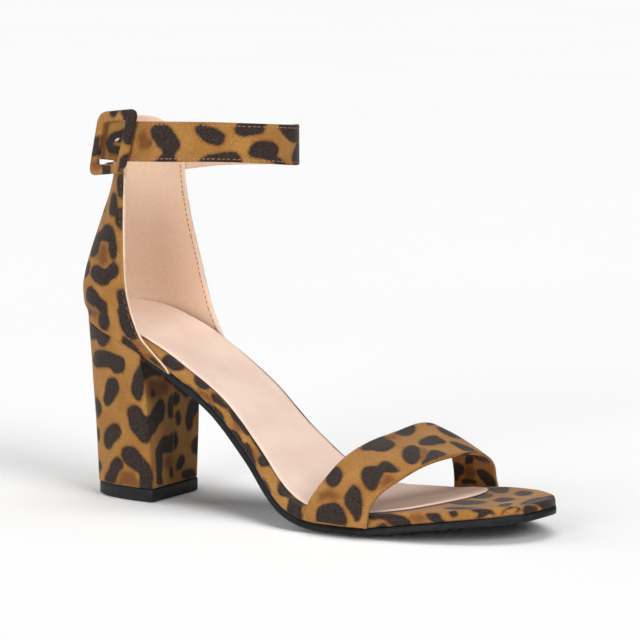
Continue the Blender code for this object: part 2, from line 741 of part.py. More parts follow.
def make_buckle():
    thick = BUCKLE_THICK
    window = (BUCKLE_LENGTH - 2 * BUCKLE_BAR, BUCKLE_HEIGHT - 2 * BUCKLE_BAR)
    rounds = (
        (0.0, 0.6, 0.0),
        (0.0, 0.0, 0.25),
        (0.0, 0.0, 0.7),
        (0.0, 1.1, 1.0),
        (1.0, 1.1, 1.0),
        (1.0, 0.0, 0.7),
        (1.0, 0.0, 0.25),
        (1.0, 0.6, 0.0),
    )
    rings = []
    for inner, pinch, share in rounds:
        size = window if inner else (BUCKLE_LENGTH, BUCKLE_HEIGHT)
        corner = WINDOW_CORNER if inner else BUCKLE_CORNER
        grow = pinch if inner else -pinch
        outline_points = rounded_box(size[0] + 2 * grow, size[1] + 2 * grow, corner + grow, 5)
        rings.append(np.column_stack([outline_points, np.full(len(outline_points), share * thick)]))
    size = len(rings[0])
    points = np.concatenate([buckle_place(ring) for ring in rings])
    faces = []
    for level in range(len(rings)):
        for i in range(size):
            a, b = level * size + i, level * size + (i + 1) % size
            c = (level + 1) % len(rings) * size
            faces.append((a, b, c + (i + 1) % size, c + i))
    paint(solid("buckle_frame", points, faces), "leopard_cloth")


def rod(name, line, radii):
    """A round rod along a path in the buckle's plane, with flat ends."""
    line = buckle_place(line)
    along = np.gradient(line, axis=0)
    along /= np.linalg.norm(along, axis=1)[:, None]
    side = np.cross(along[0], ROD_REFERENCE)
    rings = []
    for centre, ahead, radius in zip(line, along, radii, strict=True):
        side = side - ahead * np.dot(side, ahead)
        side /= np.linalg.norm(side)
        other = np.cross(ahead, side)
        turns = np.linspace(0, 2 * math.pi, ROD_SIDES, endpoint=False)
        rings.append([centre + radius * (math.cos(t) * side + math.sin(t) * other) for t in turns])
    return loft(name, np.array(rings))


def make_prong():
    """The pivot bar with its two ends turned out to the frame, joined to the prong."""
    corner = PIVOT_CORNER
    ends = []
    for turn in np.linspace(0, math.pi / 2, 5):
        across, out = corner * math.cos(turn), corner * math.sin(turn)
        ends.append((PIVOT_REACH - corner + across, PIVOT_DEPTH + corner - out))
    up = [(PIVOT_REACH, -SEAM_GAP), *ends]
    bar = [(PIVOT_LENGTH, PIVOT_MIDDLE + height, depth) for height, depth in up]
    bar += [(PIVOT_LENGTH, PIVOT_MIDDLE - height, depth) for height, depth in reversed(up)]
    prong = rod("buckle_prong", bar, [PRONG_R] * len(bar))
    line = spline(PRONG_ROWS, 16)
    tongue = rod("prong_tongue", line, [PRONG_R] * 13 + [0.72, 0.66, PRONG_TIP_R])
    helper(tongue)
    boolean(prong, tongue, "UNION")
    paint(prong, "metal")

    through = [(PRONG_ROWS[3][0], PRONG_ROWS[3][1], depth) for depth in (-6.5, 0.5)]
    cutter = rod("strap_hole_cutter", through, [STRAP_HOLE_R] * 2)
    helper(cutter)
    boolean(bpy.data.objects["ankle_strap"], cutter, "DIFFERENCE")


def helper(piece):
    """Moves a piece that only takes part in a Boolean out of the shoe's own collection."""
    SANDAL.objects.unlink(piece)
    CUTTERS.objects.link(piece)
    piece.hide_render = True
    piece.display_type = "WIRE"


def boolean(piece, other, operation):
    modifier = piece.modifiers.new(operation.lower(), "BOOLEAN")
    modifier.operation = operation
    modifier.solver = "EXACT"
    modifier.object = other


for old in list(bpy.data.objects):
    bpy.data.objects.remove(old, do_unlink=True)
SANDAL = bpy.data.collections.new("block_heel_sandal")
CUTTERS = bpy.data.collections.new("cutters")
CUTTERS.hide_render = True
for group in (SANDAL, CUTTERS):
    bpy.context.scene.collection.children.link(group)

make_sole()
make_heel()
make_counter()
make_strap()
make_toe_strap()
make_buckle()
make_prong()
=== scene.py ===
import math

import bmesh
import bpy
import numpy as np
from mathutils import Matrix, Vector


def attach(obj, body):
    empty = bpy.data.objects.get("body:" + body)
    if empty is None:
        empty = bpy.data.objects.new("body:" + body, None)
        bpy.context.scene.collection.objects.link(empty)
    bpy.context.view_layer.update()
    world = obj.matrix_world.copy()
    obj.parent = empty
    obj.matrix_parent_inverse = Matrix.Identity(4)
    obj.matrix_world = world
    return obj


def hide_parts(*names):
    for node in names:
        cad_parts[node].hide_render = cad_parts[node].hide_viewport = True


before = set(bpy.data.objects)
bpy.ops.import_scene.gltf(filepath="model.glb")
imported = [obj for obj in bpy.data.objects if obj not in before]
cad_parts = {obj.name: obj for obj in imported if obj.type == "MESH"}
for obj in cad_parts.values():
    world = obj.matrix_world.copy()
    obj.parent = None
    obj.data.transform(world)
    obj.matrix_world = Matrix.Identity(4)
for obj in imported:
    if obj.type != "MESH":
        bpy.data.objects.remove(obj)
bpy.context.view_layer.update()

ORIGIN_X = 130.5

MM = 0.001
# Sole layers, measured square to the sole's underside
SEAM_GAP = 0.3
LAYER_GAP = 0.4
OUTSOLE_THICK = 2.6
OUTSOLE_SKIVED = 1.0
INSOLE_THICK = 0.9
EDGE_LIFT = 1.0
LIFT_FROM_X = 122.0
LIFT_RUN = 25.0
FLAT_SHARE = 0.55
TOE_LIFT_X = 222.0
TOE_LIFT_RUN = 18.0
UPRIGHT_TO_X = 30.0
UPRIGHT_RUN = 32.0
SKIVE_FROM_X = 60.0
SKIVE_RUN = 18.0
SEAT_RUN = 9.0

SOLE_RISE_COLUMNS = ("x", "rise")
SOLE_RISE_ROWS = (
    (18.0, 73.6), (28.0, 71.4), (36.0, 69.4), (44.0, 66.8), (52.0, 63.5), (58.0, 61.0), (65.0, 57.9),
    (72.0, 54.4), (80.0, 49.8), (88.0, 45.0), (96.0, 39.4), (103.0, 33.3), (110.0, 26.9),
    (118.0, 20.1), (126.0, 13.1), (134.0, 7.4), (142.0, 3.2), (149.0, 0.9), (157.0, 0.0), (175.0, 0.0),
    (186.0, 1.2), (200.0, 3.3), (215.0, 5.2), (230.0, 6.9), (242.0, 8.6),
)

# Height of the footbed's top above the underside
FOOTBED_COLUMNS = ("x", "top")
FOOTBED_ROWS = (
    (28.0, 6.6), (62.0, 7.1), (120.0, 6.9), (152.0, 7.8), (192.0, 8.1), (214.0, 7.1), (240.0, 6.5),
)

# Half widths of the sole from its centre line, lateral towards -Y
SOLE_OUTLINE_COLUMNS = ("x", "lateral", "medial")
SOLE_OUTLINE_ROWS = (
    (71.0, 24.7, 23.5), (82.0, 24.8, 22.6), (95.0, 24.3, 21.5), (110.0, 26.0, 21.3),
    (125.0, 31.4, 24.0), (140.0, 37.8, 29.4), (155.0, 38.9, 33.6), (170.0, 39.1, 36.2),
    (185.0, 37.5, 37.0), (200.0, 34.4, 35.4), (215.0, 28.4, 30.2), (225.0, 22.0, 23.2),
    (233.0, 13.4, 14.4),
)
TOE_TIP = (237.6, 1.2)
# The outsole ends at the top of the breast, which stands a little askew
BREAST_LATERAL = (64.5, -24.6)
BREAST_MEDIAL = (59.0, 24.2)

# The footbed goes on behind the breast, round the heel seat
SEAT_OUTLINE_ROWS = (
    (28.3, 8.6, 8.6), (31.8, 14.8, 14.8), (37.6, 20.0, 20.0), (46.2, 23.4, 23.4), (58.0, 24.4, 24.3),
)
SEAT_BACK = (27.2, 0.0)

INSOLE_OUTLINE_COLUMNS = ("x", "lateral", "medial")
INSOLE_OUTLINE_ROWS = (
    (29.2, 7.6, 7.6), (32.1, 13.2, 13.4), (36.4, 17.6, 18.2), (41.6, 20.2, 21.0), (49.0, 21.6, 22.2),
    (59.0, 21.4, 21.6), (69.0, 21.0, 20.4), (82.0, 20.9, 18.9), (95.0, 20.4, 17.6),
    (110.0, 22.2, 17.5), (125.0, 27.2, 20.1), (140.0, 32.4, 25.1), (155.0, 34.6, 29.6),
    (170.0, 34.0, 32.4), (182.0, 29.4, 32.8), (190.5, 22.4, 30.6), (196.0, 13.0, 26.0),
)
INSOLE_TIP = (200.0, 10.0)
INSOLE_BACK = (27.9, 0.0)

# Edge profiles of the layers as (inset, share of the layer's height)
OUTSOLE_EDGE = ((0.9, 0.0), (0.15, 0.14), (0.0, 0.4), (0.05, 1.0))
HEEL_CUP = 0.8
HEEL_CUP_FRONT = 95.0
HEEL_CUP_FADE = 40.0
HEEL_CUP_BACK = 30.0
HEEL_CUP_RISE = 12.0
HEEL_CUP_HALF = 19.0

# Heel seat: the seam between the counter and the heel, above the footbed's underside at the sides
SEAM_COLUMNS = ("x", "z")
SEAM_ROWS = (
    (18.0, 74.4), (28.0, 72.9), (40.0, 70.2), (50.0, 67.2), (58.0, 64.0), (66.0, 60.2), (72.0, 57.4),
    (80.0, 53.4),
)
RIM_WALL = 1.4

# Block heel: plan sections from its foot (level 0) to the seat (level 1)
HEEL_COLUMNS = ("level", "back", "breast", "half_width", "askew")
HEEL_ROWS = (
    (0.0, 25.9, 61.1, 18.0, 1.6), (0.35, 25.5, 60.9, 20.0, 1.8), (0.7, 24.7, 60.5, 22.4, 2.4),
    (1.0, 25.0, 60.2, 26.6, 3.2),
)
HEEL_FOOT = 5.5
HEEL_SQUARENESS = 2.35
HEEL_CORNER = 1.6
BREAST_LIP = 0.5
TIP_THICK = 5.2
TIP_FRONT_PROUD = 0.4
TIP_BACK_INSET = 0.5

# Counter: plan sections by height, with the front edge's x on each side
WALL = 1.8
COUNTER_COLUMNS = ("z", "back", "half_width", "bend", "lateral_front", "medial_front")
COUNTER_ROWS = (
    (52.0, 24.4, 27.1, 30.0, 80.0, 70.4), (57.0, 24.6, 27.1, 30.0, 76.0, 69.4),
    (62.0, 25.0, 27.0, 30.0, 70.2, 67.4), (68.0, 25.2, 26.9, 30.0, 63.8, 64.4),
    (75.0, 24.9, 26.8, 30.0, 60.2, 61.4), (79.5, 22.9, 26.8, 30.0, 58.6, 60.0),
    (85.5, 22.4, 26.8, 30.0, 57.0, 58.2), (92.0, 23.6, 26.7, 30.0, 56.2, 56.6),
    (101.0, 26.5, 26.2, 30.0, 55.5, 54.4), (114.0, 31.6, 25.2, 29.0, 54.4, 52.2),
    (128.0, 36.9, 24.4, 28.0, 53.3, 51.5), (142.0, 39.7, 24.0, 27.0, 52.7, 51.6),
    (156.0, 41.0, 24.0, 27.0, 52.8, 51.8),
)
COUNTER_SQUARENESS = 2.2
BOW_STEP = 0.3
COUNTER_TOP_COLUMNS = ("around", "top")
COUNTER_TOP_ROWS = ((-1.0, 153.4), (-0.4, 154.2), (0.0, 154.6), (0.4, 154.0), (1.0, 147.0))

# Ankle strap: the plan line of its inner face, with the height of its middle and its width there
STRAP_THICK = 1.7
# Columns: x, y, height of the middle, width
STRAP_ROWS = (
    (41.6, -19.9, 146.2, 16.0), (45.4, -21.8, 146.4, 16.0), (52.6, -24.6, 146.5, 16.0),
    (61.0, -26.6, 146.7, 16.0), (72.0, -27.8, 147.1, 15.9), (84.0, -27.6, 147.5, 15.8),
    (98.0, -24.6, 147.8, 15.6), (109.4, -17.4, 147.4, 15.5), (116.0, -6.5, 146.4, 15.8),
    (117.0, 4.0, 145.4, 16.0), (111.5, 13.5, 144.8, 16.0), (100.0, 20.8, 143.8, 16.0),
    (84.0, 24.9, 142.7, 16.0), (68.0, 25.2, 141.7, 16.0), (58.0, 23.9, 140.5, 16.0),
    (51.4, 22.2, 139.6, 16.0), (44.2, 17.6, 139.0, 16.0),
)

# Toe strap: its back and front edges from the lateral side over to the medial side
TOE_STRAP_THICK = 1.7
# Columns: x, y and z of the back edge, then of the front edge
TOE_STRAP_ROWS = (
    (153.6, -41.5, 5.6, 181.4, -40.9, 4.6), (154.4, -41.3, 11.0, 181.8, -40.6, 9.6),
    (157.2, -39.0, 17.4, 183.0, -39.0, 14.6), (159.8, -34.4, 23.0, 186.0, -35.6, 19.4),
    (160.6, -27.4, 27.2, 190.0, -30.0, 23.6), (161.4, -18.0, 30.6, 193.2, -20.6, 27.4),
    (162.8, -5.0, 33.3, 195.4, -8.4, 29.2), (164.8, 8.0, 35.0, 196.2, 4.6, 29.2),
    (167.2, 19.2, 36.6, 196.4, 15.6, 28.0), (169.8, 28.2, 34.5, 196.2, 24.4, 24.7),
    (171.4, 34.4, 27.5, 195.1, 31.0, 20.0), (172.0, 37.6, 18.2, 193.2, 35.4, 14.4),
    (171.6, 38.9, 10.8, 192.2, 38.6, 9.8), (171.0, 39.0, 4.6, 191.4, 39.5, 5.6),
)
TOE_STRAP_BULGE = 0.8

# Buckle: its middle, the turn of its face from -Y to the back, and the lean of its top towards the toe
BUCKLE_AT = (52.9, -27.9, 146.0)
BUCKLE_TURN = math.radians(13.0)
BUCKLE_LEAN = math.radians(17.5)
BUCKLE_LENGTH = 23.3
BUCKLE_HEIGHT = 27.3
BUCKLE_BAR = 4.5
BUCKLE_THICK = 2.6
BUCKLE_CORNER = 4.4
WINDOW_CORNER = 1.6
BUCKLE_BEND = 0.005
# How much of its lean each bar along the strap follows
BUCKLE_SKEW = 0.35


def column(columns, rows, name):
    return np.array([row[columns.index(name)] for row in rows], float)


def smooth_table(at, values):
    """A curve through the rows that never overshoots between them."""
    at, values = np.asarray(at, float), np.asarray(values, float)
    step = np.diff(at)
    grade = np.diff(values) / step
    slope = np.zeros(len(at))
    slope[0], slope[-1] = grade[0], grade[-1]
    for i in range(1, len(at) - 1):
        if grade[i - 1] * grade[i] > 0:
            before, after = 2 * step[i] + step[i - 1], step[i] + 2 * step[i - 1]
            slope[i] = (before + after) / (before / grade[i - 1] + after / grade[i])

    def value(x):
        x = np.clip(np.asarray(x, float), at[0], at[-1])
        i = np.clip(np.searchsorted(at, x, side="right") - 1, 0, len(at) - 2)
        width = at[i + 1] - at[i]
        t = (x - at[i]) / width
        low = values[i] * (1 + 2 * t) * (1 - t) ** 2 + slope[i] * width * t * (1 - t) ** 2
        high = values[i + 1] * t * t * (3 - 2 * t) + slope[i + 1] * width * t * t * (t - 1)
        return low + high

    return value


def arc(line):
    """Length along a polyline, from its first point."""
    return np.concatenate([[0], np.cumsum(np.linalg.norm(np.diff(line, axis=0), axis=1))])


def knots(points):
    """Where the points stand along their spline."""
    return np.concatenate([[0], np.cumsum(np.linalg.norm(np.diff(points, axis=0), axis=1) ** 0.5)])


def spline(points, count):
    """Points spaced evenly along a natural cubic through the given ones."""
    points = np.asarray(points, float)
    knot = knots(points)
    fine = spline_at(points, knot, np.linspace(0, knot[-1], 40 * len(points)))
    return even(fine, count)


def spline_at(points, knot, at):
    size = len(knot)
    step = np.diff(knot)[:, None]
    grade = np.diff(points, axis=0) / step
    matrix = np.eye(size)
    right = np.zeros_like(points)
    for i in range(1, size - 1):
        matrix[i, i - 1 : i + 2] = step[i - 1, 0], 2 * (step[i - 1, 0] + step[i, 0]), step[i, 0]
        right[i] = 6 * (grade[i] - grade[i - 1])
    bend = np.linalg.solve(matrix, right)
    i = np.clip(np.searchsorted(knot, at, side="right") - 1, 0, size - 2)
    width = step[i]
    t = ((at - knot[i])[:, None]) / width
    line = points[i] * (1 - t) + points[i + 1] * t
    return line + width**2 / 6 * (((1 - t) ** 3 - (1 - t)) * bend[i] + (t**3 - t) * bend[i + 1])


def even(line, count):
    """The polyline resampled to count points, evenly by length."""
    line = np.asarray(line, float)
    run = arc(line)
    at = np.linspace(0, run[-1], count)
    return np.stack([np.interp(at, run, line[:, k]) for k in range(line.shape[1])], axis=1)


def ease(t):
    t = np.clip(t, 0, 1)
    return t * t * (3 - 2 * t)


def table_curve(columns, rows, at, name):
    return smooth_table(column(columns, rows, at), column(columns, rows, name))


sole_rise = table_curve(SOLE_RISE_COLUMNS, SOLE_RISE_ROWS, "x", "rise")
seam_height = table_curve(SEAM_COLUMNS, SEAM_ROWS, "x", "z")
sole_lateral = table_curve(SOLE_OUTLINE_COLUMNS, SOLE_OUTLINE_ROWS, "x", "lateral")
sole_medial = table_curve(SOLE_OUTLINE_COLUMNS, SOLE_OUTLINE_ROWS, "x", "medial")
footbed_top = table_curve(FOOTBED_COLUMNS, FOOTBED_ROWS, "x", "top")


def underside(x, y):
    """Height of the sole's underside, whose edge lifts a little round the forefoot."""
    side = np.where(y > 0, y / sole_medial(x), -y / sole_lateral(x))
    side = np.clip(np.maximum(side, ease((x - TOE_LIFT_X) / TOE_LIFT_RUN)), 0, 1)
    lift = EDGE_LIFT * ease((x - LIFT_FROM_X) / LIFT_RUN)
    return sole_rise(x) + lift * np.clip((side - FLAT_SHARE) / (1 - FLAT_SHARE), 0, 1) ** 2


def above_sole(x, y, height):
    """The point this high above the underside: square to it, but straight up at the back of the heel seat."""
    slope = sole_rise(x + 0.5) - sole_rise(x - 0.5)
    long = np.sqrt(1 + slope * slope)
    ahead = -slope / long * height * ease((x - UPRIGHT_TO_X) / UPRIGHT_RUN)
    return np.stack([x + ahead, y, underside(x, y) + height / long], axis=-1)


def outsole_thick(x):
    return OUTSOLE_SKIVED + (OUTSOLE_THICK - OUTSOLE_SKIVED) * ease((x - SKIVE_FROM_X) / SKIVE_RUN)


def footbed_base(x):
    """Height of the footbed's underside: on the heel at the seat, and on the outsole ahead of it."""
    return LAYER_GAP + outsole_thick(x) * ease((x - SKIVE_FROM_X + SEAT_RUN) / SEAT_RUN)


def outline(columns, rows, tip, count, back=None, ends=None):
    """Lateral and medial edge points in pairs, from the back of the piece, or its two ends, to its toe."""
    x = column(columns, rows, "x")
    lateral = np.stack([x, -column(columns, rows, "lateral")], axis=1)
    medial = np.stack([x, column(columns, rows, "medial")], axis=1)
    if back:
        # The curve runs on a few points past the back, so that it is smooth there
        around = np.concatenate([medial[2::-1], [back], lateral, [tip], medial[::-1], [back], lateral[:3]])
        first = 3
        middle = first + 1 + len(lateral)
    else:
        around = np.concatenate([ends[:1], lateral, [tip], medial[::-1], ends[1:]])
        first = 0
        middle = 1 + len(lateral)
    last = len(around) - 1 - first
    knot = knots(around)
    left = spline_at(around, knot, np.linspace(knot[first], knot[middle], 600))
    right = spline_at(around, knot, np.linspace(knot[last], knot[middle], 600))
    return bunched(left, count), bunched(right, count)


def bunched(line, count):
    """As even(), with the points closer together towards the tip."""
    run = arc(line)
    share = np.linspace(0, 1, count)
    at = run[-1] * (0.72 * share + 0.28 * np.sin(share * math.pi / 2))
    return np.stack([np.interp(at, run, line[:, k]) for k in range(2)], axis=1)


def bow(back, front, half_width, squareness, bend, count):
    """Half of a plan section: from the middle of its back to its front edge, on the side of +Y."""
    turn = np.linspace(0, math.pi / 2, 160)
    x = back + bend * (1 - np.cos(turn) ** (2 / squareness))
    y = half_width * np.sin(turn) ** (2 / squareness)
    end = (front, np.interp(front, x, y))
    line = np.stack([x, y], axis=1)[x < front - BOW_STEP]
    return even(np.concatenate([line, [end]]), count)


def heel_dish(x, y, share):
    """How far the heel seat is cupped at this point of a layer's top."""
    along = ease((HEEL_CUP_FRONT - x) / HEEL_CUP_FADE) * ease((x - HEEL_CUP_BACK) / HEEL_CUP_RISE)
    across = 1 - np.clip(np.abs(y) / HEEL_CUP_HALF, 0, 1) ** 2.5
    return HEEL_CUP * along * across * (share > 0.99)


def buckle_place(points):
    """From the buckle's own plane (length, height, depth outwards) to the shoe."""
    points = np.asarray(points, float)
    length, height, depth = points[:, 0], points[:, 1], points[:, 2]
    along = length * math.cos(BUCKLE_LEAN) + height * math.sin(BUCKLE_LEAN)
    up = length * math.sin(BUCKLE_LEAN) * BUCKLE_SKEW + height * math.cos(BUCKLE_LEAN)
    depth = depth - BUCKLE_BEND * along * along
    x = BUCKLE_AT[0] + along * math.cos(BUCKLE_TURN) - depth * math.sin(BUCKLE_TURN)
    y = BUCKLE_AT[1] - along * math.sin(BUCKLE_TURN) - depth * math.cos(BUCKLE_TURN)
    return np.stack([x, y, BUCKLE_AT[2] + up], axis=1)


def rounded_box(length, height, corner, per_corner):
    """A rounded rectangle in the buckle's plane, with the same number of points for any size."""
    line = []
    centres = ((1, 1, 0.0), (-1, 1, 0.5), (-1, -1, 1.0), (1, -1, 1.5))
    for sx, sy, start in centres:
        cx, cy = sx * (length / 2 - corner), sy * (height / 2 - corner)
        for turn in np.linspace(start * math.pi, (start + 0.5) * math.pi, per_corner):
            line.append((cx + corner * math.cos(turn), cy + corner * math.sin(turn)))
        next_side = (sx, sy)
        if next_side in ((1, 1), (-1, -1)):
            line.append((0.0, cy + corner * sy))
        else:
            line.append((cx + corner * sx, 0.0))
    return np.array(line)


